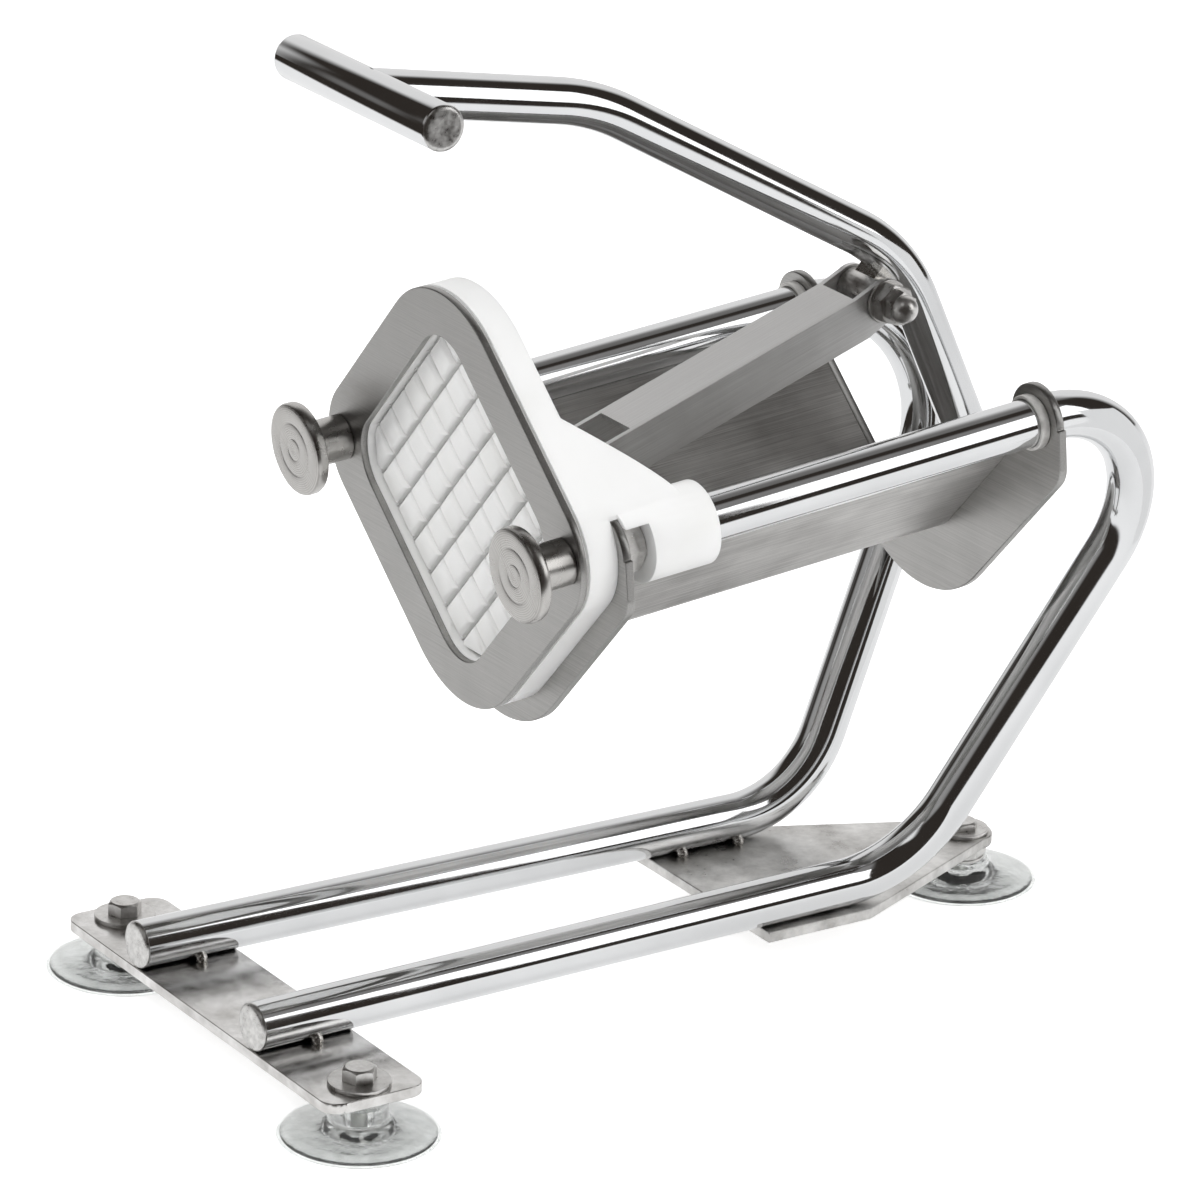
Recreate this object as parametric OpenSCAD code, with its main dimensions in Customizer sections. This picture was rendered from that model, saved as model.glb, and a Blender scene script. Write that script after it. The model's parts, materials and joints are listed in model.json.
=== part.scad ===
// Hand lever french fry cutter: a bent tube stand on three suction cups, a V trough
// between two rails, a square blade head on its corner, and a pusher worked by a lever.
// Origin: on the table, in the middle plane, half way between the front and the rear.
// +X is across, +Y runs to the rear, +Z is up. Millimetres.

/* [Stand] */
// outer diameter of the bent tubes of the stand
tube_d = 12.7; // [12.4:0.1:13.2]
// wall of the bent tubes
tube_wall = 1.5; // [1:0.1:2]
// middle plane to base tube axis at the front
base_x_front = 29.9; // [27:0.1:33]
// middle plane to base tube axis at the rear bend
base_x_rear = 26.1; // [24:0.1:28]
// length of the base run up to the corner of the rear bend
base_len = 204.2; // [200:0.5:215]
// middle plane to rail axis
rail_x = 54; // [53:0.1:55.5]
// centre line radius of the lower rear bend
bend_r = 36; // [30:1:40]
// centre line radius of the upper hairpin bend
hairpin_r = 32; // [28:1:34]
// how far behind the head face the hairpin corner lies, along the rails
hairpin_back = 207; // [202:1:212]
// downward tilt of the rails towards the front, degrees
rail_tilt = 5.2; // [4.5:0.1:6]
// how far the head face lies ahead of the corner of the lower rear bend
head_ahead = 130; // [127:0.5:133]
// height of the rail axis at the head face
head_z = 139.7; // [137:0.1:143]

/* [Feet] */
// length of the front foot plate across
front_plate_len = 138; // [134:1:146]
// width of the front foot plate
front_plate_w = 29; // [27:0.5:32]
// corner radius of the front foot plate
front_plate_corner = 5; // [3:0.5:8]
// thickness of both foot plates
plate_t = 3; // [2.5:0.1:3.5]
// front foot bolt in from the end of the front foot plate
foot_inset = 8.6; // [8.2:0.1:10]
// front foot bolt behind the tube ends
foot_y = 12.7; // [11:0.1:14]
// half width of the rear foot plate
rear_plate_x = 32.8; // [32:0.1:36]
// front edge of the rear foot plate, ahead of the corner of the rear bend
rear_plate_ahead = 49.2; // [46:0.2:54]
// where its sides start to taper, ahead of that corner
rear_taper_ahead = 16.2; // [12:0.2:20]
// rear foot bolt behind that corner
rear_foot_behind = 36.8; // [34:0.2:40]
// radius of the rear end of that plate
rear_end_r = 8.4; // [8.2:0.1:11]
// radius of the suction cup rim
cup_r = 20.9; // [18:0.1:23]
// radius of the suction cup neck
cup_neck_r = 7.6; // [7.2:0.1:9]
// height of the seat for the nut in the suction cup
cup_h = 8.2; // [7.5:0.1:9.5]
// thickness of the foot nuts
foot_nut_h = 2.6; // [2:0.1:3]

/* [Trough] */
// thickness of the trough sheet
trough_t = 1; // [0.8:0.1:1.4]
// inside radius of the trough bottom
trough_r = 20; // [16:0.5:24]
// thickness of the V shaped end plates
v_plate_t = 2.5; // [2:0.1:2.8]
// front face of the rear V plate, behind the head face
v_rear_back = 144.4; // [142:0.1:147]
// radius of the bottom of the V plates
v_bottom_r = 35; // [33:0.5:37]
// height of that radius centre below the rails
v_bottom_drop = 29; // [28.5:0.1:29.5]
// radius of the ears round the rails
ear_r = 10; // [9.5:0.1:10.6]

/* [Head] */
// side of the square head
head_side = 98; // [97:0.5:101]
// middle of the head below the rails
head_drop = 0.8; // [0.5:0.1:1.2]
// radius of the top and bottom corners of the head
head_corner = 30; // [27:0.5:32]
// radius of the left and right corners of the head
head_side_corner = 19; // [17:0.5:22]
// number of cells along each side of the blade grid
cells = 7; // [7:1:7]
// distance from blade to blade
cell_pitch = 10.06; // [9.8:0.01:10.1]
// corner radius of the window
window_corner = 12.5; // [10:0.5:13]
// thickness of the steel front frame
face_t = 2; // [1.5:0.1:2.5]
// thickness of the steel flange of the blade holder
flange_t = 0.8; // [0.6:0.1:1]
// back of the plastic block behind the head face
block_back = 11; // [10.8:0.1:11.2]
// outer radius of the bosses round the rails
boss_r = 11; // [10.5:0.1:11.1]
// rear end of the bosses behind the head face
boss_back = 39.6; // [37:0.2:44]
// thickness of one blade
blade_t = 0.5; // [0.3:0.05:0.6]
// depth of each blade set
blade_depth = 3; // [2:0.1:3]
// radius of the clamping knobs
knob_r = 12.4; // [11:0.1:14]
// thickness of the knob discs
knob_t = 3.6; // [3:0.1:6]
// radius of the knob collars
knob_collar_r = 6.1; // [5.5:0.1:7]
// length of the knob collars
knob_collar_len = 11.3; // [9:0.1:13]

/* [Pusher] */
// gap from the pusher to the window, each side
pusher_gap = 0.75; // [0.6:0.05:1]
// front of the posts behind the head face
post_front = 2.9; // [2.6:0.1:3.4]
// front of the pusher plate behind the head face
pusher_plate_front = 12.2; // [12:0.1:12.6]
// thickness of the pusher plate
pusher_plate_t = 4.3; // [3.5:0.1:4.5]
// rear end of the sliding shoe behind the head face
shoe_back = 40; // [34:1:42]
// width of the yoke
yoke_w = 12.8; // [11:0.1:13]

/* [Lever] */
// outer diameter of the lever tube
lever_d = 12.2; // [12:0.1:12.7]
// diameter of the T handle
handle_d = 12; // [11.6:0.1:12.7]
// lower lever pivot behind the head face, along the rails
pivot_back = 166; // [164:0.5:167]
// lower lever pivot below the rails
pivot_drop = 38.7; // [37.5:0.1:40]
// link bolt behind the head face, along the rails
bolt_back = 130.5; // [129:0.5:132]
// link bolt above the rails
bolt_rise = 23.5; // [22.5:0.1:24.5]
// front pin of the link behind the head face
pin_back = 32.3; // [31.5:0.1:33]
// front pin of the link below the rails
pin_drop = 1.5; // [1:0.1:2]
// corner of the lower lever bend behind the head face
bend_back = 140.4; // [138:0.2:143]
// corner of the lower lever bend above the rails
bend_rise = 32.6; // [31:0.2:34]
// corner of the upper lever bend behind the head face
top_back = 48.8; // [45:0.2:52]
// corner of the upper lever bend above the rails
top_rise = 95.1; // [92:0.2:98]
// T handle ahead of the head face
handle_ahead = 16.1; // [12:0.2:20]
// T handle above the rails
handle_rise = 112.8; // [110:0.2:116]
// length of the T handle
handle_len = 73; // [66:1:100]
// inside width of the link channel
link_inside = 13.8; // [13.5:0.1:14.5]
// thickness of the link sheet
link_t = 1.5; // [1.2:0.1:1.8]
// height of the link cheeks
link_h = 12; // [11:0.1:13]

/* [Hidden] */
$fn = 96;
tube_r = tube_d / 2;
plate_z = cup_h + foot_nut_h;
base_z = plate_z + plate_t + tube_r;
run_gap = 0.05;
front_y = -127;
bend_at = front_y + base_len;
foot_x = front_plate_len / 2 - foot_inset;
foot_at = front_y + foot_y;
rear_foot_at = bend_at + rear_foot_behind;
rear_plate_at = bend_at - rear_plate_ahead;
rear_taper_at = bend_at - rear_taper_ahead;
weld_gap = 0.02;
// longer than any hole, wider than any plate
through = 60;
wide = 200;
root2 = sqrt(2);
seat_len = 0.4;
seat_step = 0.01;

// foot fasteners
foot_thread_r = 2.5;
foot_hex = 8;
foot_nut_hex = 9;
foot_head_h = 3.6;
foot_washer_r = 8.1;
foot_washer_t = 1.2;
rear_washer_r = 7.3;
rear_head_h = 2;
stack_washer_r = 6.4;
stack_washer_t = 0.8;
stack_nut_h = 3.6;
stack_nut_hex = 12;
cup_rim_w = 1.4;
cup_floor = 2.6;
rear_seat = plate_z - stack_nut_h - stack_washer_t;

// rail direction and the points of the bent tubes
rail_dir = [0, cos(rail_tilt), sin(rail_tilt)];
rail_up = [0, -sin(rail_tilt), cos(rail_tilt)];
head_pt = [0, bend_at - head_ahead, head_z];
rail_front = 24;
function at_rail(x, back, up) = [x, 0, 0] + head_pt + back * rail_dir + up * rail_up;
function tube_points(side) = [
    [side * base_x_front, front_y, base_z],
    [side * base_x_rear, bend_at, base_z],
    at_rail(side * rail_x, hairpin_back, 0),
    at_rail(side * rail_x, rail_front, 0)];

// V trough and its end plates, seen along the rails
v_line = rail_x;
v_edge = v_bottom_drop + v_bottom_r * root2;
ear_side = rail_x + ear_r + 0.8;
ear_gap = 0.3;
v_round = 8;
trough_front = block_back + v_plate_t;
sheet_top_drop = 4;
collar_r = 7.4;
collar_len = 2.8;

// head, seen along the rails and turned onto its side
window_side = cells * cell_pitch;
holder_wall = 3;
holder_gap = 0.1;
holder_back = block_back - 0.4;
block_front = face_t + flange_t;
blade_a_front = 4.2;
blade_b_front = blade_a_front + blade_depth;
blade_bite = 1.5;
blade_len = window_side + 2 * blade_bite;
stud_r = 3;
stud_nut_hex = 13;
stud_nut_h = 6.5;
stud_nut_back = trough_front + stud_nut_h;
nut_gap = 0.2;
boss_open_top = 7.4;
flare_r = 34.5;
flare_back = 33.5;

// pusher
pusher_side = window_side - 2 * pusher_gap;
pusher_cut = 9;
slot_w = 1.5;
post_depth = pusher_plate_front - post_front - 1;
groove_w = 3.2;
shoe_gap = 0.35;
shoe_t = 3.6;
shoe_x = 34;
shoe_floor = 42;
pin_r = 2.5;
pin_play_front = 0.8;
pin_play_back = 2.3;
yoke_floor = 6;
yoke_front_top = 12;
yoke_rear_top = 5;
yoke_back = 41;
screw_r = 2;
screw_len = 7;
screw_head_r = 3.8;
screw_head_h = 2.2;
screw_spread = 22;

// lever and link
pivot_pt = at_rail(0, pivot_back, -pivot_drop);
bolt_pt = at_rail(0, bolt_back, bolt_rise);
pin_pt = at_rail(0, pin_back, -pin_drop);
lever_r = lever_d / 2;
handle_r = handle_d / 2;
lever_bend_r = 49;
lever_top_r = 64;
lever_points = [
    pivot_pt,
    at_rail(0, bend_back, bend_rise),
    at_rail(0, top_back, top_rise),
    at_rail(0, -handle_ahead, handle_rise)];
handle_pt = lever_points[3];
hub_r = 7.2;
hub_half = 8.6;
pivot_r = 3;
pivot_hex = 10;
tab_in = hub_half + 0.2;
tab_t = 1.6;
tab_end_r = 7.4;
bolt_r = 3;
bolt_hex = 10;
sleeve_r = 5.2;
sleeve_half = link_inside / 2 - 0.15;
link_half = link_inside / 2 + link_t;
link_angle = atan2(bolt_rise + pin_drop, bolt_back - pin_back);
side_play = 0.2;
link_len = norm([bolt_rise + pin_drop, bolt_back - pin_back]);
link_web_rear = 8.5;
link_web_front = 20;
link_top = 4.6;
bolt_washer_t = 1;
bolt_washer_r = 6;
bolt_nut_h = 4;
bolt_end_r = 3.6;
bolt_end_h = 1.6;
acorn_hex = 8;
acorn_r = 3.8;

// ---- shared shapes

module in_head() {
    translate(head_pt)
        rotate([rail_tilt, 0, 0])
            children();
}

// a flat outline drawn across the rails, from one depth behind the head face to another
module across(front, back) {
    in_head()
        translate([0, back, 0])
            rotate([90, 0, 0])
                linear_extrude(back - front)
                    children();
}

// a square on its corner, with one radius above and below and one at the sides
module diamond(side, radius, side_radius) {
    half = side / 2;
    corners = [[1, 1, radius], [-1, -1, radius], [-1, 1, side_radius], [1, -1, side_radius]];
    translate([0, -head_drop])
        rotate(45) {
            difference() {
                square(side, center = true);
                for (c = corners)
                    translate([c[0] * half, c[1] * half])
                        square(2 * c[2], center = true);
            }
            for (c = corners)
                translate([c[0] * (half - c[2]), c[1] * (half - c[2])])
                    circle(c[2]);
        }
}

module head_outline(inset) {
    diamond(head_side - 2 * inset, head_corner - inset, head_side_corner - inset);
}

module window_outline(outset) {
    diamond(window_side + 2 * outset, window_corner + outset, window_corner + outset);
}

// a straight bar between two points, hollow when it has an inside radius
module rod(a, b, radius, inside = 0) {
    d = b - a;
    translate(a)
        rotate([0, acos(d[2] / norm(d)), atan2(d[1], d[0])])
            linear_extrude(norm(d))
                ring(radius, inside);
}

module ring(radius, inside) {
    difference() {
        circle(radius);
        if (inside > 0)
            circle(inside);
    }
}

function unit(v) = v / norm(v);
function bend_angle(a, b, c) = 180 - acos(unit(a - b) * unit(c - b));
function bend_reach(a, b, c, r) = r * tan(bend_angle(a, b, c) / 2);

// a torus arc that rounds the corner a-b-c and is seated in the bars on both sides
module elbow(a, b, c, r, radius, inside = 0) {
    over = seat_len / r * 180 / PI;
    hole = inside > 0 ? inside + seat_step : 0;
    u = unit(a - b);
    v = unit(c - b);
    turn = bend_angle(a, b, c);
    middle = b + unit(u + v) * r / cos(turn / 2);
    start = unit(b + u * bend_reach(a, b, c, r) - middle);
    normal = unit(cross(v, u));
    tilt = acos(normal[2]);
    swing = atan2(normal[1], normal[0]);
    ex = [cos(swing) * cos(tilt), sin(swing) * cos(tilt), -sin(tilt)];
    ey = [-sin(swing), cos(swing), 0];
    translate(middle)
        rotate([0, tilt, swing])
            rotate([0, 0, atan2(start * ey, start * ex) - over])
                rotate_extrude(angle = turn + 2 * over)
                    translate([r, 0])
                        ring(radius - seat_step, hole);
}

// a round bar bent at the two middle points of a four point path
module bent_bar(p, r1, r2, radius, inside = 0) {
    u0 = unit(p[1] - p[0]);
    u1 = unit(p[2] - p[1]);
    u2 = unit(p[3] - p[2]);
    c1 = bend_reach(p[0], p[1], p[2], r1);
    c2 = bend_reach(p[1], p[2], p[3], r2);
    rod(p[0], p[1] - u0 * c1, radius, inside);
    elbow(p[0], p[1], p[2], r1, radius, inside);
    rod(p[1] + u1 * c1, p[2] - u1 * c2, radius, inside);
    elbow(p[1], p[2], p[3], r2, radius, inside);
    rod(p[2] + u2 * c2, p[3], radius, inside);
}

module hex(af, h) {
    cylinder(h = h, d = af / cos(30), $fn = 6);
}

// a hexagon with its top corners turned off
module hex_head(af, h) {
    intersection() {
        hex(af, h);
        rotate_extrude()
            polygon([[0, 0], [af / 2 + 1, 0], [af / 2 + 1, h - 0.9], [af / 2 - 0.4, h], [0, h]]);
    }
}

// a hexagon with top and bottom corners turned off and a hole
module hex_nut(af, h, hole_r) {
    edge = 0.5;
    difference() {
        intersection() {
            hex(af, h);
            rotate_extrude()
                polygon([[0, 0], [af / 2, 0], [af / 2 + 1, edge], [af / 2 + 1, h - edge],
                    [af / 2, h], [0, h]]);
        }
        translate([0, 0, -1])
            cylinder(h = h + 2, r = hole_r);
    }
}

module washer(radius, h, hole_r) {
    difference() {
        cylinder(h = h, r = radius);
        translate([0, 0, -1])
            cylinder(h = h + 2, r = hole_r);
    }
}

// places its children with +Z pointing to +X, at a point of the middle plane
module cross_axis(p, x) {
    translate([x, p[1], p[2]])
        rotate([0, 90, 0])
            children();
}

module foot_places() {
    for (x = [-1, 1])
        translate([x * foot_x, foot_at, 0])
            children();
    translate([0, rear_foot_at, 0])
        children();
}

// ---- stand

module frame_tube(side) {
    p = tube_points(side);
    color("silver")
        bent_bar(p, bend_r, hairpin_r, tube_r, tube_r - tube_wall);
}

module frame_tube_left() {
    frame_tube(-1);
}

module frame_tube_right() {
    frame_tube(1);
}

// domed plugs that close the front ends of the base tubes
module tube_end_caps() {
    lip = 1.2;
    edge = 0.8;
    plug_len = 4;
    color("gainsboro")
        for (side = [-1, 1]) {
            p = tube_points(side);
            d = unit(p[0] - p[1]);
            translate(p[0])
                rotate([0, acos(d[2]), atan2(d[1], d[0])])
                    rotate_extrude()
                        polygon([[0, -plug_len], [tube_r - tube_wall, -plug_len],
                            [tube_r - tube_wall, 0], [tube_r, 0], [tube_r, lip - edge],
                            [tube_r - edge, lip], [0, lip]]);
        }
}

module front_plate() {
    color("silver")
        difference() {
            translate([0, front_y - 1 + front_plate_w / 2, plate_z])
                linear_extrude(plate_t) {
                    inner_x = front_plate_len - 2 * front_plate_corner;
                    inner_y = front_plate_w - 2 * front_plate_corner;
                    square([front_plate_len, inner_y], center = true);
                    square([inner_x, front_plate_w], center = true);
                    for (x = [-1, 1])
                        for (y = [-1, 1])
                            translate([x * inner_x / 2, y * inner_y / 2])
                                circle(front_plate_corner);
                }
            foot_holes();
        }
}

module foot_holes() {
    foot_places()
        translate([0, 0, plate_z - 1])
            cylinder(h = plate_t + 2, r = foot_thread_r + 0.2);
}

module rear_plate() {
    // the taper touches the rounded rear end on both sides
    dx = rear_plate_x;
    dy = rear_foot_at - rear_taper_at;
    reach = norm([dx, dy]);
    lean = atan2(dx, dy) + asin(rear_end_r / reach);
    touch = [rear_end_r * cos(lean), rear_end_r * sin(lean)];
    color("silver")
        difference() {
            translate([0, 0, plate_z])
                linear_extrude(plate_t) {
                    polygon([[-dx, rear_plate_at], [dx, rear_plate_at], [dx, rear_taper_at],
                        [touch[0], rear_foot_at + touch[1]],
                        [-touch[0], rear_foot_at + touch[1]], [-dx, rear_taper_at]]);
                    translate([0, rear_foot_at])
                        circle(rear_end_r);
                }
            foot_holes();
        }
}

// weld spots where the base tubes stand on the plates: on both sides of each tube at the
// front, and on the inner side at the rear
module weld_beads() {
    bead_r = 1.7;
    bead_rise = 0.9;
    bead_out = 4.2;
    front_run = front_plate_w / 2 + 1.5;
    rear_runs = [base_len - rear_plate_ahead + 9, base_len - rear_taper_ahead - 6];
    spots = [[1, front_run], [-1, front_run], [-1, rear_runs[0]], [-1, rear_runs[1]]];
    color("gray")
        for (side = [-1, 1])
            difference() {
                for (s = spots) {
                    run = base_x_front + (base_x_rear - base_x_front) * s[1] / base_len;
                    translate([side * (run + s[0] * bead_out), front_y + s[1],
                            plate_z + plate_t + bead_rise])
                        sphere(bead_r);
                }
                rod(tube_points(side)[0], tube_points(side)[1], tube_r);
                translate([-front_plate_len, front_y - through, plate_z - through])
                    cube([2 * front_plate_len, base_len + 2 * through, plate_t + through]);
            }
}

// a dish with a neck; in front the neck has a collar round the nut, with its rim just
// below the plate
module suction_cup(seat, rim) {
    socket_r = foot_nut_hex / 2 / cos(30) + 0.4;
    color([0.8, 0.83, 0.85, 0.6])
        difference() {
            rotate_extrude()
                polygon([[0, 1.2], [6, 1.2], [cup_r - cup_rim_w - 4, 0.9],
                    [cup_r - cup_rim_w, 0], [cup_r, 0], [cup_r, 0.5], [cup_r - 3, 1.9],
                    [cup_neck_r + 4.5, 3.3], [cup_neck_r + 1.2, 4.1], [cup_neck_r, 5],
                    [cup_neck_r, rim], [0, rim]]);
            translate([0, 0, cup_floor])
                cylinder(h = through, r = foot_thread_r);
            translate([0, 0, seat])
                cylinder(h = through, r = socket_r);
        }
}

module suction_cup_left() {
    translate([-foot_x, foot_at, 0])
        suction_cup(cup_h, plate_z - 0.3);
}

module suction_cup_right() {
    translate([foot_x, foot_at, 0])
        suction_cup(cup_h, plate_z - 0.3);
}

module suction_cup_rear() {
    translate([0, rear_foot_at, 0])
        suction_cup(cup_h, rear_seat);
}

module foot_bolts() {
    shank_low = cup_floor + 0.3;
    head_low = plate_z + plate_t + foot_washer_t;
    color("lightgray")
        for (p = [[-foot_x, foot_at, foot_head_h], [foot_x, foot_at, foot_head_h],
                [0, rear_foot_at, rear_head_h]]) {
            translate([p[0], p[1], shank_low])
                cylinder(h = head_low - shank_low, r = foot_thread_r);
            translate([p[0], p[1], head_low])
                rotate(18)
                    hex_head(foot_hex, p[2]);
        }
}

module foot_washers() {
    color("lightgray")
        for (p = [[-foot_x, foot_at, foot_washer_r], [foot_x, foot_at, foot_washer_r],
                [0, rear_foot_at, rear_washer_r]])
            translate([p[0], p[1], plate_z + plate_t])
                washer(p[2], foot_washer_t, foot_thread_r);
}

module foot_nuts() {
    color("lightgray")
        for (x = [-foot_x, foot_x])
            translate([x, foot_at, cup_h])
                rotate(12)
                    hex_nut(foot_nut_hex, foot_nut_h, foot_thread_r);
}

// large nut and washer between the rear plate and its cup
module rear_foot_stack() {
    color("lightgray")
        translate([0, rear_foot_at, rear_seat]) {
            washer(stack_washer_r, stack_washer_t, foot_thread_r);
            translate([0, 0, stack_washer_t])
                hex_nut(stack_nut_hex, stack_nut_h, foot_thread_r);
        }
}

// ---- trough

// a V of a given size: everything above two lines that meet below the rails
module v_above(depth, radius) {
    sharp = depth;
    difference() {
        polygon([[0, -sharp], [wide, wide - sharp], [-wide, wide - sharp]]);
        // the bottom corner is rounded
        polygon([[0, -sharp - 1], [radius / root2, -sharp + radius / root2],
            [0, -sharp + radius * root2], [-radius / root2, -sharp + radius / root2]]);
    }
    translate([0, -sharp + radius * root2])
        circle(radius + seat_step);
}

trough_in = v_line - trough_t / root2;
trough_out = v_line + trough_t / root2;

module trough() {
    color("silver")
        difference() {
            across(trough_front, v_rear_back)
                difference() {
                    v_above(trough_out, trough_r + trough_t);
                    v_above(trough_in, trough_r);
                    // the sheet ends on the rails
                    rail_holes(tube_r + weld_gap);
                    translate([-wide, -sheet_top_drop])
                        square(2 * wide);
                }
            across(block_back, boss_back)
                rail_holes(boss_r + run_gap);
            across(v_rear_back - collar_len, v_rear_back + 1)
                translate([-wide, -collar_r / root2 - 0.5])
                    square(2 * wide);
        }
}

module v_plate_outline() {
    low = [v_bottom_r / root2, -v_bottom_drop - v_bottom_r / root2];
    round_x = ear_side - v_round;
    round_y = -(v_edge - round_x) + v_round * root2;
    touch = [round_x + v_round / root2, round_y - v_round / root2];
    translate([0, -v_bottom_drop])
        circle(v_bottom_r);
    for (side = [0, 1])
        mirror([side, 0]) {
            polygon([[0, -v_bottom_drop], low, touch, [round_x, round_y],
                [round_x, 0], [rail_x - ear_r, 0], [0, -v_bottom_drop + 1]]);
            polygon([[round_x - 1, round_y], [ear_side, round_y], [ear_side, 0],
                [round_x - 1, 0]]);
            translate([round_x, round_y])
                circle(v_round);
        }
}

// a circle on each rail axis
module rail_holes(radius) {
    for (side = [-1, 1])
        translate([side * rail_x, 0])
            circle(radius);
}

// a V shaped plate with an ear round each rail and a hole in each ear
module v_plate(front, hole_r) {
    color("silver")
        across(front, front + v_plate_t)
            difference() {
                union() {
                    difference() {
                        v_plate_outline();
                        v_above(trough_in, trough_r);
                    }
                    rail_holes(ear_r);
                }
                rail_holes(hole_r);
            }
}

module trough_rear_plate() {
    v_plate(v_rear_back, tube_r + weld_gap);
}

module trough_front_plate() {
    v_plate(block_back, stud_r + run_gap);
}

// short collars that hold the rear V plate on the rails
module rail_collars() {
    color("silver")
        across(v_rear_back - collar_len, v_rear_back)
            difference() {
                rail_holes(collar_r);
                rail_holes(tube_r + weld_gap);
            }
}

// two tabs welded behind the rear V plate carry the lever
module pivot_bracket() {
    face = v_rear_back + v_plate_t;
    reach = pivot_back - face;
    low = 15.5;
    high = 9;
    color("silver")
        for (side = [-1, 1])
            in_head()
                translate([side * (tab_in + tab_t / 2), face, -pivot_drop])
                    rotate([90, 0, 90])
                        translate([0, 0, -tab_t / 2])
                            linear_extrude(tab_t)
                                difference() {
                                    union() {
                                        polygon([[0, high], [0, -low], [9, -low],
                                            [reach + 5.4, -5], [reach + 2, 7]]);
                                        translate([reach, 0])
                                            circle(tab_end_r);
                                    }
                                    translate([reach, 0])
                                        circle(pivot_r + 0.1);
                                }
}

module pivot_bolt() {
    half = tab_in + tab_t;
    color("lightgray") {
        cross_axis(pivot_pt, -half)
            cylinder(h = 2 * half + 5, r = pivot_r);
        cross_axis(pivot_pt, -half)
            rotate([180, 0, 0])
                hex_head(pivot_hex, 4);
    }
}

module pivot_nut() {
    color("lightgray")
        cross_axis(pivot_pt, tab_in + tab_t)
            hex_nut(pivot_hex, 4, pivot_r);
}

// ---- head

// moulded block: a plate with a square window, two bosses and the webs between them
module head_block() {
    color("white")
        difference() {
            union() {
                across(block_front, block_back)
                    head_outline(0);
                across(trough_front, boss_back)
                    rail_holes(boss_r);
                web();
            }
            // seat of the blade holder, then the way through for the potato
            across(block_front - 1, block_back + 1)
                window_outline(holder_wall);
            across(block_back - 1, boss_back + 1)
                window_outline(0);
            // rails from the rear, studs from the front
            across(trough_front, boss_back + 1)
                rail_holes(tube_r + run_gap);
            across(block_front - 1, trough_front)
                rail_holes(stud_r + 0.1);
            // room for the ears of the front V plate and for the nuts behind them
            across(block_back, trough_front) {
                rail_holes(ear_r + ear_gap);
                below(ear_gap);
            }
            across(trough_front, stud_nut_back + nut_gap)
                below(boss_open_top);
        }
}

// everything below a height, seen along the rails
module below(height) {
    translate([-wide, height - 2 * wide])
        square(2 * wide);
}

// the webs taper from the upper sides of the block to the bosses
module web() {
    for (side = [-1, 1])
        intersection() {
            in_head()
                translate([side * rail_x, block_back, 0])
                    rotate([-90, 0, 0])
                        cylinder(h = flare_back - block_back, r1 = flare_r, r2 = boss_r - 0.2);
            across(block_back, flare_back)
                difference() {
                    head_outline(0);
                    window_outline(0);
                    below(0);
                }
        }
}

module head_frame() {
    color("silver")
        across(0, face_t)
            difference() {
                head_outline(0);
                window_outline(0);
                rail_holes(stud_r + 0.1);
            }
}

// thin flange with a square collar that holds the ends of the blades
module blade_holder() {
    color("silver")
        difference() {
            union() {
                across(face_t, block_front)
                    head_outline(1);
                across(face_t, holder_back)
                    window_outline(holder_wall - holder_gap);
            }
            across(face_t - 1, holder_back + 1)
                window_outline(0);
            across(face_t - 1, block_front + 1)
                rail_holes(stud_r + 0.1);
            blades(45, blade_a_front);
            blades(-45, blade_b_front);
        }
}

module blades(turn, front) {
    across(front, front + blade_depth)
        translate([0, -head_drop])
            rotate(turn)
                for (i = [0:cells - 2])
                    translate([(i - (cells - 2) / 2) * cell_pitch, 0])
                        square([blade_t, blade_len], center = true);
}

module blades_rising() {
    color("gainsboro")
        blades(45, blade_a_front);
}

module blades_falling() {
    color("gainsboro")
        blades(-45, blade_b_front);
}

// studs on plugs that are pressed into the front ends of the rails
module clamp_studs() {
    plug_len = 8;
    color("lightgray") {
        across(-knob_collar_len, rail_front)
            rail_holes(stud_r);
        across(rail_front, rail_front + plug_len)
            rail_holes(tube_r - tube_wall - weld_gap);
    }
}

module clamp_nuts() {
    color("lightgray")
        for (side = [-1, 1])
            in_head()
                translate([side * rail_x, trough_front, 0])
                    rotate([-90, 0, 0])
                        hex_nut(stud_nut_hex, stud_nut_h, stud_r);
}

// turned disc with a stepped face, a collar and a blind hole for the stud
module knob(side) {
    edge = 0.9;
    step_r = knob_r * 0.42;
    step = 0.35;
    color("silver")
        in_head()
            translate([side * rail_x, 0, 0])
                rotate([90, 0, 0])
                    difference() {
                        rotate_extrude()
                            polygon([[0, 0], [knob_collar_r, 0],
                                [knob_collar_r, knob_collar_len],
                                [knob_r - edge, knob_collar_len],
                                [knob_r, knob_collar_len + edge],
                                [knob_r, knob_collar_len + knob_t - edge],
                                [knob_r - edge, knob_collar_len + knob_t],
                                [step_r, knob_collar_len + knob_t],
                                [step_r, knob_collar_len + knob_t - step],
                                [step_r - 1, knob_collar_len + knob_t - step],
                                [step_r - 1, knob_collar_len + knob_t],
                                [0, knob_collar_len + knob_t]]);
                        translate([0, 0, -1])
                            cylinder(h = knob_collar_len + 1.3, r = stud_r + run_gap);
                    }
}

module knob_left() {
    knob(-1);
}

module knob_right() {
    knob(1);
}

// ---- pusher

// square with its corners cut off
module cut_square(side, cut) {
    h = side / 2;
    c = h - cut;
    polygon([[h, -c], [h, c], [c, h], [-c, h], [-h, c], [-h, -c], [-c, -h], [c, -h]]);
}

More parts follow.
